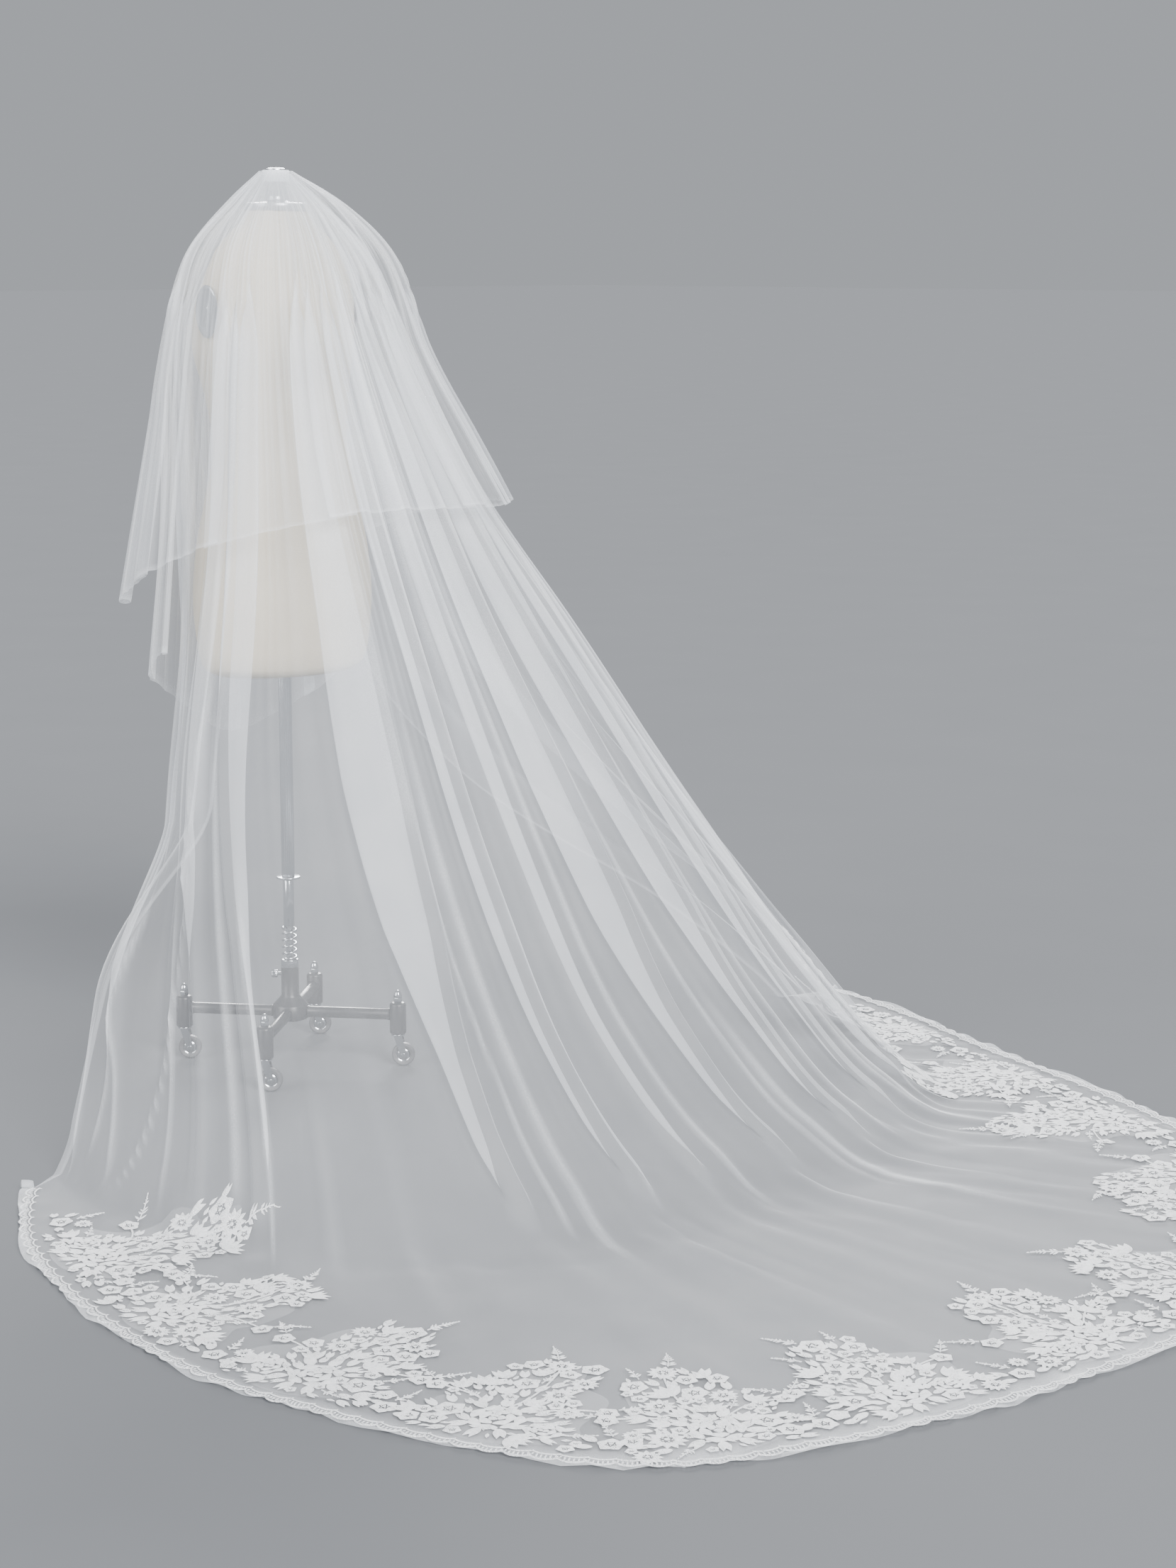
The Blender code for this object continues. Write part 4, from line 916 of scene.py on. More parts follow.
def fill_spot(lace, rng, x, y, size, heart, turn_of):
    """One small motif that fills the ground: a daisy, a flower, a spread of leaves, a leaf or a seed."""
    outward = math.atan2(y - heart[1] + 0.03, x - heart[0]) + rng.uniform(-0.35, 0.35)
    if size > 0.018:
        if turn_of % 3 == 0:
            lace.daisy(x, y, size, outward)
        elif turn_of % 3 == 1:
            lace.flower(x, y, size, 5, outward)
        else:
            for bend in (-0.75, 0.0, 0.75):
                back = 0.75 * size
                lace.leaf(
                    x - back * math.cos(outward), y - back * math.sin(outward), outward + bend, 1.8 * size
                )
    elif size > 0.014:
        if turn_of % 4 == 0:
            lace.fern(x - size * math.cos(outward), y - size * math.sin(outward), outward, 2.3 * size, 4)
        elif turn_of % 4 == 1:
            lace.flower(x, y, size, 5, outward)
        else:
            lace.leaf(x - size * math.cos(outward), y - size * math.sin(outward), outward - 0.35, 2.1 * size)
            lace.leaf(x - size * math.cos(outward), y - size * math.sin(outward), outward + 0.45, 1.8 * size)
    elif size > 0.010:
        if turn_of % 3 == 0:
            lace.flower(x, y, size, 5, outward)
        else:
            lace.leaf(x - size * math.cos(outward), y - size * math.sin(outward), outward, 2.1 * size)
    elif size > 0.008:
        if turn_of % 3 == 0:
            lace.flower(x, y, 0.95 * size, 5, outward)
        else:
            lace.leaf(x - size * math.cos(outward), y - size * math.sin(outward), outward, 2.2 * size)
    else:
        lace.petal(
            x - size * math.cos(outward), y - size * math.sin(outward), outward, 2 * size, 0.8 * size, 0.4
        )


def cluster_pattern(number):
    """A small sprig that fills the hem between two sprays."""
    lace = Pattern()
    lean = -1 if number % 2 else 1
    lace.flower(0.0, 0.030, 0.018, 5, 0.4 * number)
    lace.daisy(0.022 * lean, 0.060, 0.014, 0.2)
    lace.leaf(-0.018 * lean, 0.036, math.pi / 2 + 0.8 * lean, 0.026)
    lace.leaf(0.020 * lean, 0.024, math.pi / 2 - 1.4 * lean, 0.024)
    lace.leaf(-0.020 * lean, 0.020, math.pi / 2 + 1.5 * lean, 0.024)
    lace.fern(0.0, 0.052, math.pi / 2 + 0.35 * lean, 0.040, 5)
    return lace


class Train:
    """The fine long tier as something to lay lace on."""

    def __init__(self, tier, rows):
        height, width = rows.shape[:2]
        index = np.arange(height * width).reshape(height, width)
        quads = np.stack((index[:-1, :-1], index[:-1, 1:], index[1:, 1:], index[1:, :-1]), axis=-1)
        self.tree = BVHTree.FromPolygons(rows.reshape(-1, 3).tolist(), quads.reshape(-1, 4).tolist())
        across = np.linspace(1, -1, 1201)
        self.across = across
        self.line = tier.points(across, tier.last)[:, :2]
        steps = np.linalg.norm(np.diff(self.line, axis=0), axis=1)
        self.run = np.concatenate(((0,), np.cumsum(steps)))

    def hem_at(self, run):
        """A place on the hem, the direction along it and the direction out of the train."""
        here = Vector((np.interp(run, self.run, self.line[:, 0]), np.interp(run, self.run, self.line[:, 1])))
        before, after = max(0.0, run - 0.01), min(self.run[-1], run + 0.01)
        step = Vector((
            np.interp(after, self.run, self.line[:, 0]) - np.interp(before, self.run, self.line[:, 0]),
            np.interp(after, self.run, self.line[:, 1]) - np.interp(before, self.run, self.line[:, 1]),
        )).normalized()
        out = Vector((step.y, -step.x))
        if out.dot(here) < 0:
            out = -out
        return here, step, out

    def run_at(self, across):
        return float(np.interp(-across, -self.across, self.run))

    def over(self, x, y, lift):
        """A point over the cloth, moved out of it by a lift."""
        place, out, _, _ = self.tree.ray_cast(Vector((x, y, 3.0)), Vector((0, 0, -1)))
        if place is None:
            return Vector((x, y, WALL + lift))
        if out.z < 0:
            out = -out
        return place + out * lift

    def lay(self, pattern, run, inset):
        """A pattern's points, laid on the cloth at a place along the hem."""
        here, step, out = self.hem_at(run)
        laid = []
        for along, inward, height in pattern.points:
            place = here - out * (inset + inward) + step * along
            laid.append(self.over(place.x, place.y, LACE_LIFT + height) + ORIGIN)
        return laid


def laid_piece(name, train, patterns, finish, node):
    """One mesh from several patterns, each a (pattern, run along the hem, inset)."""
    points, faces = [], []
    for pattern, run, inset in patterns:
        start = len(points)
        points += train.lay(pattern, run, inset)
        faces += [tuple(start + i for i in face) for face in pattern.faces]
    data = bpy.data.meshes.new(name)
    data.from_pydata(points, [], faces)
    data.shade_smooth()
    piece = new_piece(name, data, finish)
    if node:
        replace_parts(piece, node)
    return piece


def ground_pattern(number):
    """The spray's own net: a patch with a soft lobed outline, a little denser than the tulle."""
    ground = Pattern()
    count = 72
    rings = []
    for share in (1.0, 0.66, 0.33):
        ring = []
        for i in range(count):
            angle = 2 * math.pi * i / count
            inward = (1 - math.cos(angle)) / 2
            lobe = math.cos(6 * angle + 0.5 * number)
            along = math.sin(angle) * (1.0 - 0.66 * inward) * (1 + 0.13 * lobe) * SPRAY_HALF_WIDTH
            depth = SPRAY_DEPTH * (0.4 + (inward * (0.94 + 0.06 * lobe) - 0.4) * share)
            ring.append((along * share, depth, -0.0009))
        rings.append(len(ground.points))
        ground.points += ring
    centre = len(ground.points)
    ground.points.append((0.0, 0.4 * SPRAY_DEPTH, -0.0009))
    for i in range(count):
        after = (i + 1) % count
        for a, b in zip(rings, rings[1:]):
            ground.faces.append((a + i, a + after, b + after, b + i))
        ground.faces.append((rings[-1] + i, rings[-1] + after, centre))
    return ground


def border_pattern_piece(train, finish):
    """The scalloped edging: an outer and an inner cord with a ladder of short oval rungs between."""
    total = train.run[-1]
    pitch = total / SCALLOPS
    steps = 8
    points, faces = [], []

    def strip(reach_at, width, crown):
        start = len(points)
        count = SCALLOPS * steps + 1
        for i in range(count):
            here, _, out = train.hem_at(total * i / (count - 1))
            reach = reach_at(i % steps / steps)
            for side, lift in ((-1, 0.0), (0, crown), (1, 0.0)):
                place = here + out * (reach + side * width / 2)
                points.append(train.over(place.x, place.y, LACE_LIFT + lift) + ORIGIN)
        for i in range(count - 1):
            for j in (0, 1):
                a = start + 3 * i + j
                faces.append((a, a + 1, a + 4, a + 3))

    def bulge(share):
        return math.sin(math.pi * share) ** 0.8

    strip(lambda share: SCALLOP_REACH * bulge(share) - 0.0016, 0.0034, 0.0016)
    strip(lambda share: SCALLOP_REACH * 0.55 * bulge(share) + 0.004 - BORDER_WIDTH, 0.0026, 0.0012)
    for scallop in range(SCALLOPS):
        for rung in range(RUNGS_A_SCALLOP):
            share = (rung + 0.5) / RUNGS_A_SCALLOP
            here, step, out = train.hem_at(pitch * (scallop + share))
            far = SCALLOP_REACH * bulge(share) - 0.0040
            near = SCALLOP_REACH * 0.55 * bulge(share) + 0.0062 - BORDER_WIDTH
            ring = []
            for k in range(8):
                angle = 2 * math.pi * k / 8
                place = here + out * ((far + near) / 2 + (far - near) / 2 * math.sin(angle))
                place = place + step * 0.0013 * math.cos(angle)
                ring.append(train.over(place.x, place.y, LACE_LIFT) + ORIGIN)
            start = len(points)
            middle = here + out * (far + near) / 2
            points.append(train.over(middle.x, middle.y, LACE_LIFT + 0.0011) + ORIGIN)
            points.extend(ring)
            faces += [(start, start + 1 + k, start + 1 + (k + 1) % 8) for k in range(8)]
        here, step, out = train.hem_at(pitch * scallop)
        tip = 0.004 - BORDER_WIDTH - 0.0030
        start = len(points)
        for along, reach, lift in ((-0.0022, 0.004, 0), (0.0, -0.0015, 0.0), (0.0022, 0.004, 0), (0.0, 0.002, 0.0011)):
            place = here + out * (tip + reach) + step * along
            points.append(train.over(place.x, place.y, LACE_LIFT + lift) + ORIGIN)
        faces += [(start, start + 1, start + 3), (start + 1, start + 2, start + 3)]
    data = bpy.data.meshes.new("lace_edging")
    data.from_pydata(points, [], faces)
    data.shade_smooth()
    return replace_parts(new_piece("lace_edging", data, finish), "lace_border")


# Dress form and stand

TORSO_COLUMNS = ("height", "half_width", "half_depth", "forward")
TORSO_SECTIONS = (
    (0.676, .130, .092, .000),
    (0.688, .149, .104, .000),
    (0.720, .158, .112, .000),
    (0.800, .165, .118, .000),
    (0.880, .158, .113, .000),
    (0.960, .140, .100, .000),
    (1.050, .122, .088, .000),
    (1.130, .130, .096, .006),
    (1.210, .142, .114, .014),
    (1.270, .145, .104, .008),
    (1.320, .138, .080, .000),
    (1.360, .122, .062, -.002),
    (1.388, .096, .053, -.002),
    (1.408, .069, .049, -.001),
    (1.428, .052, .048, .000),
)
TORSO_ROWS = 150
TORSO_SIDES = 96
SEAM_TURNS = (0.0, 55.0, 125.0, 180.0, 235.0, 305.0)
SEAM_DEPTH = 0.0012
SEAM_WIDTH = 0.0035
NECK_CAP_RADIUS = 0.0525
KNOB_RADIUS = 0.0172
HEADING_INNER = 0.0178
HEADING_OUTER = 0.0222
POLE_LOW = 0.3235
FLANGE_THICKNESS = 0.0034
SPRING_HIGH = 0.2360
SPRING_LOW = 0.1800
COLLAR_LOW = 0.1655
HUB_HIGH = 0.1650
SLEEVE_HIGH = 0.1100
NUT_HIGH = 0.1310
POLE_RADIUS = 0.0110
POLE_FLUTES = 14
LOWER_RADIUS = 0.0092
SPRING_RADIUS = 0.0113
SPRING_WIRE = 0.0021
SPRING_TURNS = 5
HUB_RADIUS = 0.0300
ARM_RADIUS = 0.0095
ARM_HEIGHT = 0.0885
BASE_TURN = 52.5
CASTER_REACH = 0.1860
SLEEVE_RADIUS = 0.0140
NUT_RADIUS = 0.0085
AXLE_BACK = 0.00878
TRAIL_TURN = -45.0
SCREW_TURN = 135.0
EDGE = 0.0012


def solid_piece(name, points, faces, finish, node, body=STAND, smooth=40.0):
    """A closed modelled piece that stands for a CAD node; its points are already in place."""
    data = bpy.data.meshes.new(name)
    data.from_pydata([tuple(point) for point in points], [], faces)
    bm = bmesh.new()
    bm.from_mesh(data)
    bmesh.ops.remove_doubles(bm, verts=bm.verts, dist=1e-6)
    bmesh.ops.recalc_face_normals(bm, faces=bm.faces)
    bm.to_mesh(data)
    bm.free()
    data.shade_smooth()
    data.set_sharp_from_angle(angle=math.radians(smooth))
    piece = new_piece(name, data, finish, body)
    if node:
        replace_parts(piece, node)
    return piece


def turned_points(profile, sides, shape=None):
    """A lathe form: rings from a profile of (radius, height), with the radius shaped by angle."""
    points, faces = [], []
    for radius, height in profile:
        for i in range(sides):
            angle = 2 * math.pi * i / sides
            r = radius * (shape(angle, height) if shape else 1.0)
            points.append(Vector((r * math.cos(angle), r * math.sin(angle), height)))
    for j in range(len(profile) - 1):
        for i in range(sides):
            a, b = j * sides + i, j * sides + (i + 1) % sides
            faces.append((a, b, b + sides, a + sides))
    if profile[0] != profile[-1]:
        faces.append(tuple(range(sides)))
        faces.append(tuple(range((len(profile) - 1) * sides, len(profile) * sides)))
    return points, faces


def turned(name, profile, finish, slot_name, node, body=STAND, at=None, sides=48, shape=None):
    points, faces = turned_points(profile, sides, shape)
    place = at or Matrix.Translation(ORIGIN)
    return solid_piece(name, [place @ point for point in points], faces, finish, node, body)


def rounded(radius, low, high, edge=EDGE, inner=0.0):
    """A lathe profile for a round bar with softened rims."""
    profile = [(radius - edge, low)]
    for i in range(1, 4):
        angle = math.pi / 2 * i / 3
        profile.append((radius - edge + edge * math.sin(angle), low + edge * (1 - math.cos(angle))))
    for i in range(4):
        angle = math.pi / 2 * i / 3
        profile.append((radius - edge + edge * math.cos(angle), high - edge + edge * math.sin(angle)))
    return [(max(inner, r), z) for r, z in profile]


def add_torso(fabric):
    """The form's body in its jersey cover, with princess seams and a softened rim below."""
    rows = [dict(zip(TORSO_COLUMNS, row)) for row in TORSO_SECTIONS]
    heights = [row["height"] for row in rows]
    widths, depths, forwards = (Curve(heights, [row[key] for row in rows]) for key in TORSO_COLUMNS[1:])
    points, faces = [], []
    for j in range(TORSO_ROWS):
        height = heights[0] + (heights[-1] - heights[0]) * j / (TORSO_ROWS - 1)
        width, depth, forward = float(widths(height)), float(depths(height)), float(forwards(height))
        for i in range(TORSO_SIDES):
            angle = 2 * math.pi * i / TORSO_SIDES
            degrees = math.degrees(angle)
            groove = 0.0
            for seam in SEAM_TURNS:
                apart = abs((degrees - seam + 180) % 360 - 180) * math.pi / 180 * width
                groove += SEAM_DEPTH * math.exp(-(apart / SEAM_WIDTH) ** 2)
            x = (width - groove) * math.cos(angle)
            y = (depth - groove) * math.sin(angle) - forward
            points.append(ORIGIN + Vector((x, y, height)))
    for j in range(TORSO_ROWS - 1):
        for i in range(TORSO_SIDES):
            a, b = j * TORSO_SIDES + i, j * TORSO_SIDES + (i + 1) % TORSO_SIDES
            faces.append((a, b, b + TORSO_SIDES, a + TORSO_SIDES))
    faces.append(tuple(range(TORSO_SIDES)))
    faces.append(tuple(range(len(points) - TORSO_SIDES, len(points))))
    solid_piece("torso_in_jersey", points, faces, fabric, "form_torso", smooth=60)


def add_arm_plate(side_name, side, silver):
    """An oval plate over the armhole, with a rolled rim and a round boss."""
    low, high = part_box(f"arm_plate_{side_name}")
    middle = Vector([(a + b) / 2 for a, b in zip(low, high)])
    half_y, half_z, thick = (high[1] - low[1]) / 2, (high[2] - low[2]) / 2, high[0] - low[0]
    points, faces = turned_points(
        [(0.05, thick * 0.60), (0.16, thick * 0.60), (0.20, thick * 0.20), (0.80, thick * 0.10),
         (0.88, thick * 0.50), (0.95, thick * 0.48), (1.0, 0.0), (1.0, -thick * 0.5), (0.05, -thick * 0.5)], 48
    )
    placed = [
        middle + Vector((side * point.z, half_y * point.y, half_z * point.x)) for point in points
    ]
    solid_piece(f"armhole_plate_{side_name}", placed, faces, silver, f"arm_plate_{side_name}")


def add_neck_cap(silver):
    profile = [
        (0.004, 1.4966), (0.0125, 1.4966), (0.0160, 1.4950), (KNOB_RADIUS, 1.4920), (KNOB_RADIUS, 1.4560),
        (0.0160, 1.4530), (0.0160, 1.4500), (KNOB_RADIUS, 1.4480), (KNOB_RADIUS, 1.4450), (0.0215, 1.4425),
        (0.0480, 1.4410), (0.0515, 1.4395), (NECK_CAP_RADIUS, 1.4365), (NECK_CAP_RADIUS, 1.4310),
        (0.0510, 1.4285), (0.004, 1.4285),
    ]
    turned("neck_cap_and_knob", profile, silver, "silver", "neck_cap", sides=64)


def add_heading(tulle):
    """The binding that both tiers are gathered on: a narrow band, puckered by its stitches."""
    rng = random.Random(5)
    shift = [rng.uniform(0, 6.28) for _ in range(2)]

    def puckers(angle, height):
        return 1 + 0.010 * math.sin(58 * angle + shift[0]) + 0.006 * math.sin(91 * angle + shift[1])

    low, high = 1.4745, 1.4930
    profile = [
        (HEADING_INNER, low), (HEADING_OUTER - 0.0012, low - 0.0003), (HEADING_OUTER, low + 0.0020),
        (HEADING_OUTER - 0.0008, (low + high) / 2), (HEADING_OUTER, high - 0.0020),
        (HEADING_OUTER - 0.0012, high), (HEADING_INNER, high), (HEADING_INNER, low),
    ]
    return turned("gathered_heading", profile, tulle, "tulle", "veil_heading", sides=240, shape=puckers)


def flutes(angle, height):
    return 1 - 0.055 * (0.5 + 0.5 * math.cos(POLE_FLUTES * angle)) ** 3


def add_pole(chrome):
    torso_low = TORSO_SECTIONS[0][0]
    turned("fluted_pole", rounded(POLE_RADIUS, POLE_LOW, torso_low - SEAM, 0.0006), chrome, "chrome",
           "pole_upper", sides=168, shape=flutes)
    high = POLE_LOW - SEAM
    low = high - FLANGE_THICKNESS
    turned("washer_flange", rounded(0.0205, low, high, 0.0012), chrome, "chrome", "pole_flange", sides=64)
    high = low - SEAM
    low = SPRING_LOW + SEAM
    step = SPRING_HIGH
    lower = [
        (0.0040, low), (0.0060, low), (0.0060, step), (LOWER_RADIUS - 0.0008, step + 0.0001),
        (LOWER_RADIUS, step + 0.0011), (LOWER_RADIUS, high - 0.0012),
        (LOWER_RADIUS - 0.0008, high), (0.0040, high),
    ]
    turned("lower_rod", lower, chrome, "chrome", "pole_lower", sides=48)
    seat = rounded(0.0150, COLLAR_LOW, SPRING_LOW, 0.0016)
    turned("spring_seat", seat, chrome, "chrome", "spring_collar", sides=48)


def add_spring(chrome):
    """A round wire coil whose end turns lie flat."""
    steps, sides = 36, 10
    low, high = SPRING_LOW + SPRING_WIRE, SPRING_HIGH - SPRING_WIRE - SEAM
    points, faces = [], []
    count = SPRING_TURNS * steps
    for i in range(count + 1):
        share = i / count
        angle = 2 * math.pi * SPRING_TURNS * share
        flat = min(1.0, max(0.0, (share - 0.06) / 0.88))
        height = low + (high - low) * flat
        for k in range(sides):
            turn = 2 * math.pi * k / sides
            r = SPRING_RADIUS + SPRING_WIRE * math.cos(turn)
            points.append(
                ORIGIN + Vector((r * math.cos(angle), r * math.sin(angle), height + SPRING_WIRE * math.sin(turn)))
            )
    for i in range(count):
        for k in range(sides):
            a, b = i * sides + k, i * sides + (k + 1) % sides
            faces.append((a, b, b + sides, a + sides))
    faces.append(tuple(range(sides)))
    faces.append(tuple(range(count * sides, (count + 1) * sides)))
    solid_piece("coil_spring", points, faces, chrome, "spring", smooth=60)


def in_direction(degrees, reach, height=0.0):
    """A place by its direction from straight back towards the wearer's left, and its reach."""
    turn = math.radians(degrees)
    return Vector((reach * math.sin(turn), reach * math.cos(turn), height))


def along_axis(start, end):
    """A matrix that stands a lathe form's axis from one place to another."""
    return Matrix.Translation(start) @ (end - start).to_track_quat("Z", "Y").to_matrix().to_4x4()


def add_hub(black, chrome):
    high = HUB_HIGH - SEAM
    profile = [
        (0.0060, high), (0.0138, high), (0.0150, high - 0.0012), (0.0150, 0.1180), (0.0175, 0.1140),
        (0.0285, 0.1020), (HUB_RADIUS, 0.1000), (HUB_RADIUS, 0.0780), (0.0280, 0.0762), (0.0060, 0.0762),
    ]
    turned("stand_hub", profile, black, "black_metal", "base_hub", sides=72)
    height = HUB_HIGH - 0.0110
    start = ORIGIN + in_direction(SCREW_TURN, 0.0154, height)
    end = ORIGIN + in_direction(SCREW_TURN, 0.0310, height)
    knob = [
        (0.0016, 0.0), (0.0030, 0.0), (0.0030, 0.0050), (0.0058, 0.0054), (0.0064, 0.0064),
        (0.0064, 0.0144), (0.0056, 0.0155), (0.0016, 0.0155),
    ]

    def knurl(angle, height):
        return 1 + (0.05 * math.sin(24 * angle) if 0.0058 < height < 0.0150 else 0.0)

    turned("locking_screw", knob, chrome, "chrome", "hub_thumbscrew", at=along_axis(start, end), sides=96,
           shape=knurl)


def add_base(black, chrome, plastic):
    for k in range(4):
        mark = k + 1
        direction = BASE_TURN + 90 * k
        start = ORIGIN + in_direction(direction, HUB_RADIUS + 0.0003, ARM_HEIGHT)
        end = ORIGIN + in_direction(direction, CASTER_REACH - SLEEVE_RADIUS - 0.0003, ARM_HEIGHT)
        length = (end - start).length
        arm = [
            (0.0030, 0.0), (ARM_RADIUS + 0.0008, 0.0), (ARM_RADIUS + 0.0008, 0.0020), (ARM_RADIUS, 0.0034),
            (ARM_RADIUS, length - 0.0034), (ARM_RADIUS + 0.0008, length - 0.0020),
            (ARM_RADIUS + 0.0008, length), (0.0030, length),
        ]
        turned(f"base_leg_{mark}", arm, black, "black_metal", f"base_arm_{mark}",
               at=along_axis(start, end), sides=40)
        place = Matrix.Translation(ORIGIN + in_direction(direction, CASTER_REACH))
        top = SLEEVE_HIGH
        sleeve = [
            (0.0040, 0.0562), (0.0128, 0.0562), (SLEEVE_RADIUS, 0.0575), (SLEEVE_RADIUS, top - 0.0045),
            (0.0128, top - 0.0018), (0.0100, top - 0.0002), (0.0040, top - 0.0002),
        ]
        turned(f"leg_socket_{mark}", sleeve, black, "black_metal", f"caster_sleeve_{mark}", at=place)
        add_nut(mark, place, chrome)
        add_caster(mark, place, chrome, plastic)


def add_nut(mark, place, chrome):
    """A domed cap nut: a hexagon foot under a round dome."""
    low, high = SLEEVE_HIGH + SEAM, NUT_HIGH
    foot = low + 0.0080

    def hexagon(angle, height):
        if height > foot:
            return 1.0
        return 0.93 * math.cos(math.pi / 6) / math.cos((angle % (math.pi / 3)) - math.pi / 6) / 0.87

    profile = [(0.0020, low), (0.80 * NUT_RADIUS, low), (0.84 * NUT_RADIUS, low + 0.0008)]
    profile += [(0.84 * NUT_RADIUS, foot - 0.0006), (0.80 * NUT_RADIUS, foot)]
    profile += [(0.84 * NUT_RADIUS, foot + 0.0006)]
    dome = high - foot - 0.0010
    for i in range(9):
        angle = math.pi / 2 * i / 9
        profile.append((0.84 * NUT_RADIUS * math.cos(angle), foot + 0.0010 + dome * math.sin(angle)))
    turned(f"cap_nut_{mark}", profile, chrome, "chrome", f"caster_nut_{mark}", at=place, sides=60,
           shape=hexagon)


def add_caster(mark, place, chrome, plastic):
    """A caster's fork with rounded cheeks, and its wheel with a chrome hub."""
    low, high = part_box(f"caster_wheel_{mark}")
    axle_height = (low[2] + high[2]) / 2
    turn = Matrix.Rotation(math.pi / 2 - math.radians(TRAIL_TURN), 4, "Z")
    frame_here = place @ turn
    points, faces = [], []

    def merge(new_points, new_faces):
        start = len(points)
        points.extend(frame_here @ point for point in new_points)
        faces.extend(tuple(start + i for i in face) for face in new_faces)

    merge(*turned_points(rounded(0.0118, 0.0524, 0.0554, 0.0008), 40))
    outline = [(-0.0070, 0.0535), (0.0070, 0.0535)]
    round_end = 0.0062
    for i in range(13):
        angle = math.radians(20 - 220 * i / 12)
        outline.append((AXLE_BACK + round_end * math.cos(angle), axle_height + round_end * math.sin(angle)))
    for side in (-1, 1):
        near, far = side * 0.0091, side * 0.0108
        cheek = [Vector((x, near, z)) for x, z in outline] + [Vector((x, far, z)) for x, z in outline]
        n = len(outline)
        walls = [(i, (i + 1) % n, n + (i + 1) % n, n + i) for i in range(n)]
        merge(cheek, walls + [tuple(range(n)), tuple(range(n, 2 * n))])
    axle = Matrix.Translation((AXLE_BACK, 0, axle_height)) @ Matrix.Rotation(math.pi / 2, 4, "X")
    pin, pin_faces = turned_points(rounded(0.0028, -0.0118, 0.0118, 0.0005), 20)
    merge([axle @ point for point in pin], pin_faces)
    for side in (-1, 1):
        head, head_faces = turned_points(rounded(0.0042, 0.0109, 0.0124, 0.0005), 6)
        merge([axle @ Vector((p.x, p.y, side * p.z)) for p in head], head_faces)
    solid_piece(f"fork_{mark}_cheeks", points, faces, chrome, f"caster_fork_{mark}", f"fork_{mark}",
                smooth=35)
    radius = axle_height
    wheel_place = frame_here @ axle
    tyre = [
        (0.0118, 0.0060), (0.0150, 0.0078), (0.0172, 0.0080), (0.0188, 0.0066), (radius, 0.0040),
        (radius + 0.0002, 0.0), (radius, -0.0040), (0.0188, -0.0066), (0.0172, -0.0080), (0.0150, -0.0078),
        (0.0118, -0.0060), (0.0118, 0.0060),
    ]
    wheel = turned(f"tyre_{mark}", tyre, plastic, "wheel_plastic", f"caster_wheel_{mark}", f"wheel_{mark}",
                   at=wheel_place, sides=64)
    hub = [
        (0.0034, 0.0078), (0.0062, 0.0078), (0.0070, 0.0066), (0.0100, 0.0052), (0.0117, 0.0060),
        (0.0117, -0.0060), (0.0100, -0.0052), (0.0070, -0.0066), (0.0062, -0.0078), (0.0034, -0.0078),
        (0.0034, 0.0078),
    ]
    turned(f"wheel_hub_{mark}", hub, chrome, "chrome", None, f"wheel_{mark}", at=wheel_place, sides=48)
    return wheel


# The veil


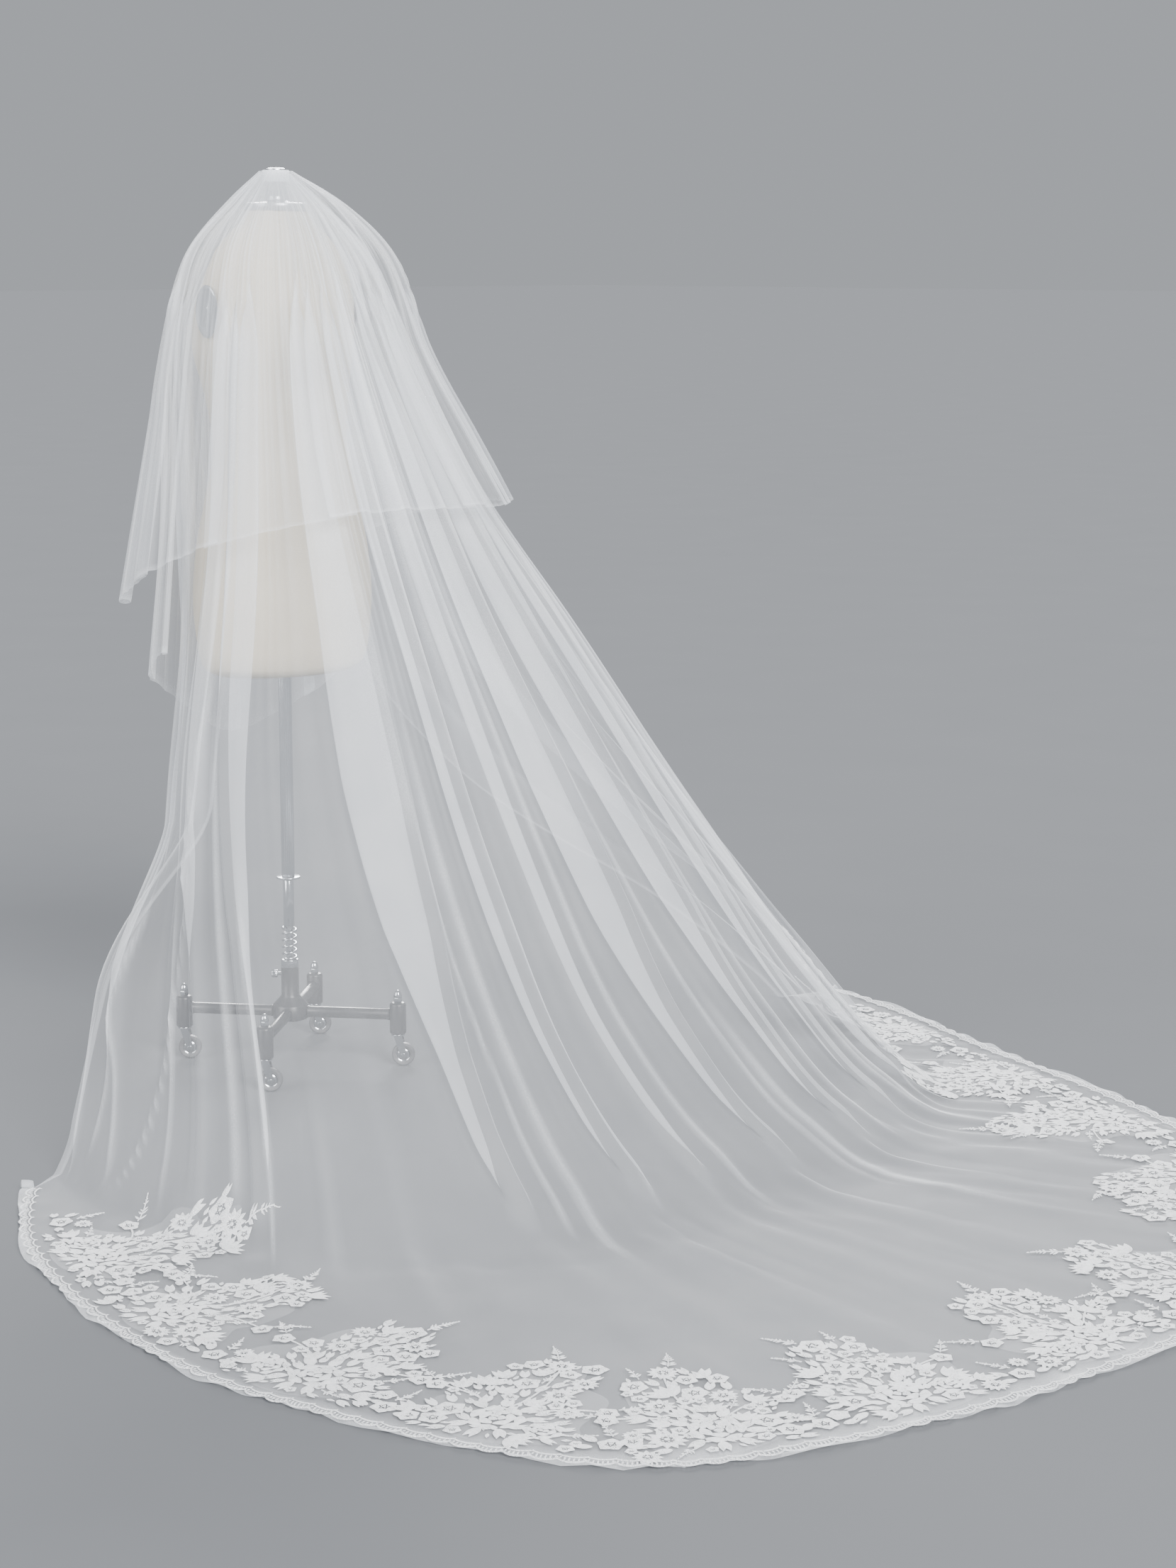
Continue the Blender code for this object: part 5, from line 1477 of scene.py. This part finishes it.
def add_veil(tulle, sheer, lace):
    long_tier = Tier(
        LONG_LEVELS, LONG_GATHER_REACH, RIB_COLUMNS, LONG_RIBS, FOLD_COLUMNS, LONG_FOLDS,
        (LONG_LEVELS["shoulder"], LONG_LEVELS["hip"], 0.0),
    )
    short_turns = (BACK_LEVELS["shoulder"], 1.0, 0.6)
    back_tier = Tier(
        BACK_LEVELS, BACK_GATHER_REACH, SHORT_COLUMNS, BACK_RIBS,
        SHORT_FOLD_COLUMNS, BACK_FOLDS, short_turns,
    )
    front_tier = Tier(
        FRONT_LEVELS, FRONT_GATHER_REACH, SHORT_COLUMNS, FRONT_RIBS,
        SHORT_FOLD_COLUMNS, FRONT_FOLDS, short_turns,
    )
    gathers = Gathers(LONG_GATHERS, LONG_SEED)
    rows, layers = fine_rows(long_tier, LONG_CREASES, gathers, LONG_ROWS, LONG_CUT_WIDTH)
    train = Train(long_tier, rows)
    cloth = add_frill(long_tier, rows)
    for roll in LONG_ROLLS:
        cloth = roll_edge(cloth, *roll)
    long_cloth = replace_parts(grid_piece("long_tier_tulle", cloth, layers, tulle), "veil_long_tier")

    gathers = Gathers(SHORT_GATHERS, BACK_SEED)
    back_rows, layers = fine_rows(back_tier, BACK_CREASES, gathers, SHORT_ROWS, SHORT_CUT_WIDTH)
    for roll in BACK_ROLLS:
        back_rows = roll_edge(back_rows, *roll)
    back_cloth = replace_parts(
        grid_piece("short_tier_back_tulle", back_rows, layers, tulle), "veil_short_tier_back"
    )
    gathers = Gathers(SHORT_GATHERS, FRONT_SEED)
    front_rows, layers = fine_rows(front_tier, FRONT_CREASES, gathers, SHORT_ROWS, SHORT_CUT_WIDTH)
    for roll in FRONT_ROLLS:
        front_rows = roll_edge(front_rows, *roll)
    front_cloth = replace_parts(
        grid_piece("short_tier_front_tulle", front_rows, layers, tulle), "veil_short_tier_front"
    )

    edging = border_pattern_piece(train, lace)
    pieces = [edging]
    for number in range(SPRAYS):
        across = SPRAY_ENDS - number * 2.0 * SPRAY_ENDS / (SPRAYS - 1)
        run = train.run_at(across)
        node = f"lace_spray_{number + 1:02d}"
        name = f"floral_spray_{number + 1:02d}"
        pieces.append(laid_piece(name, train, [(spray_pattern(number), run, SPRAY_FROM_HEM)], lace, node))
        ground = [(ground_pattern(number), run, SPRAY_FROM_HEM - NET_PAST_SPRAY)]
        pieces.append(laid_piece(f"{name}_net", train, ground, sheer, None))
    between = []
    for number in range(SPRAYS + 1):
        across = SPRAY_ENDS - (number - 0.5) * 2.0 * SPRAY_ENDS / (SPRAYS - 1)
        between.append((cluster_pattern(number), train.run_at(min(0.965, max(-0.965, across))), 0.022))
    pieces.append(laid_piece("lace_sprigs_between", train, between, lace, None))
    return long_cloth, back_cloth, front_cloth, pieces


SUNS = (
    ("key", (1.6, 5.2, 3.4), 30.0, 6.8),
    ("fill", (5.6, -0.8, 2.4), 40.0, 2.4),
    ("rim", (-3.4, -3.4, 2.4), 25.0, 5.2),
)
FLOOR_REACH = 90.0
FLOOR_HEIGHT = -0.0004
FLOOR_COLOURS = ((0.158, 0.164, 0.174), (0.168, 0.174, 0.184))
WORLD_COLOUR = (0.86, 0.90, 0.96)
WORLD_STRENGTH = 0.47
SHEER_LAYERS_SEEN = 48


def add_room():
    """A plain grey floor under soft studio light."""
    far, low = FLOOR_REACH, FLOOR_HEIGHT
    data = bpy.data.meshes.new("studio_floor")
    corners = [(-far, -far, low), (far, -far, low), (far, far, low), (-far, far, low)]
    data.from_pydata(corners, [], [(0, 1, 2, 3)])
    floor = bpy.data.objects.new("studio_floor", data)
    bpy.context.scene.collection.objects.link(floor)
    paint = Nodes("floor_paint")
    noise = paint.add("ShaderNodeTexNoise", {"Vector": paint.place(), "Scale": 3.0, "Detail": 4.0})
    paint.set(Base_Color=paint.blend(noise.outputs["Fac"], *FLOOR_COLOURS), Roughness=0.95)
    paint.set(Specular_IOR_Level=0.0)
    data.materials.append(paint.material)

    world = bpy.data.worlds.new("studio")
    world.use_nodes = True
    world.node_tree.nodes["Background"].inputs["Color"].default_value = (*WORLD_COLOUR, 1.0)
    world.node_tree.nodes["Background"].inputs["Strength"].default_value = WORLD_STRENGTH
    bpy.context.scene.world = world
    for name, place, spread, strength in SUNS:
        lamp = bpy.data.lights.new(name, "SUN")
        lamp.angle = math.radians(spread)
        lamp.energy = strength
        light = bpy.data.objects.new(name, lamp)
        light.location = ORIGIN + Vector(place)
        light.rotation_mode = "QUATERNION"
        light.rotation_quaternion = Vector(place).to_track_quat("Z", "Y")
        bpy.context.scene.collection.objects.link(light)


CAMERA_PLACE = (3.130, 3.847, 1.360)
CAMERA_HEADING = (-0.7071, -0.7071)
CAMERA_PITCH = 10.1
CAMERA_LENS = 68.4


def add_camera():
    data = bpy.data.cameras.new("photo_view")
    data.sensor_width = 36.0
    data.lens = CAMERA_LENS
    camera = bpy.data.objects.new("photo_view", data)
    camera.location = ORIGIN + Vector(CAMERA_PLACE)
    pitch = math.radians(CAMERA_PITCH)
    look = Vector((*(math.cos(pitch) * value for value in CAMERA_HEADING), -math.sin(pitch)))
    camera.rotation_mode = "QUATERNION"
    camera.rotation_quaternion = look.to_track_quat("-Z", "Y")
    bpy.context.scene.collection.objects.link(camera)
    bpy.context.scene.camera = camera


def main():
    add_camera()
    tulle = tulle_material("bridal_tulle", TULLE_COVER)
    sheer = tulle_material("lace_net", 0.075, (0.92, 0.94, 0.98))
    binding = tulle_material("bound_tulle", 0.72)
    lace = lace_material()
    fabric = fabric_material()
    silver = metal_material("satin_silver", (0.50, 0.52, 0.55), 0.30, 0.06)
    chrome = metal_material("polished_chrome", (0.52, 0.54, 0.57), 0.16, 0.05)
    black = metal_material("black_enamel", (0.030, 0.030, 0.034), 0.32, 0.08, 0.0)
    plastic = plastic_material()

    add_torso(fabric)
    add_arm_plate("left", 1, silver)
    add_arm_plate("right", -1, silver)
    add_neck_cap(silver)
    heading = add_heading(binding)
    add_pole(chrome)
    add_spring(chrome)
    add_hub(black, chrome)
    add_base(black, chrome, plastic)
    long_cloth, back_cloth, front_cloth, laces = add_veil(tulle, sheer, lace)
    add_room()
    bpy.context.scene.cycles.transparent_max_bounces = SHEER_LAYERS_SEEN


main()
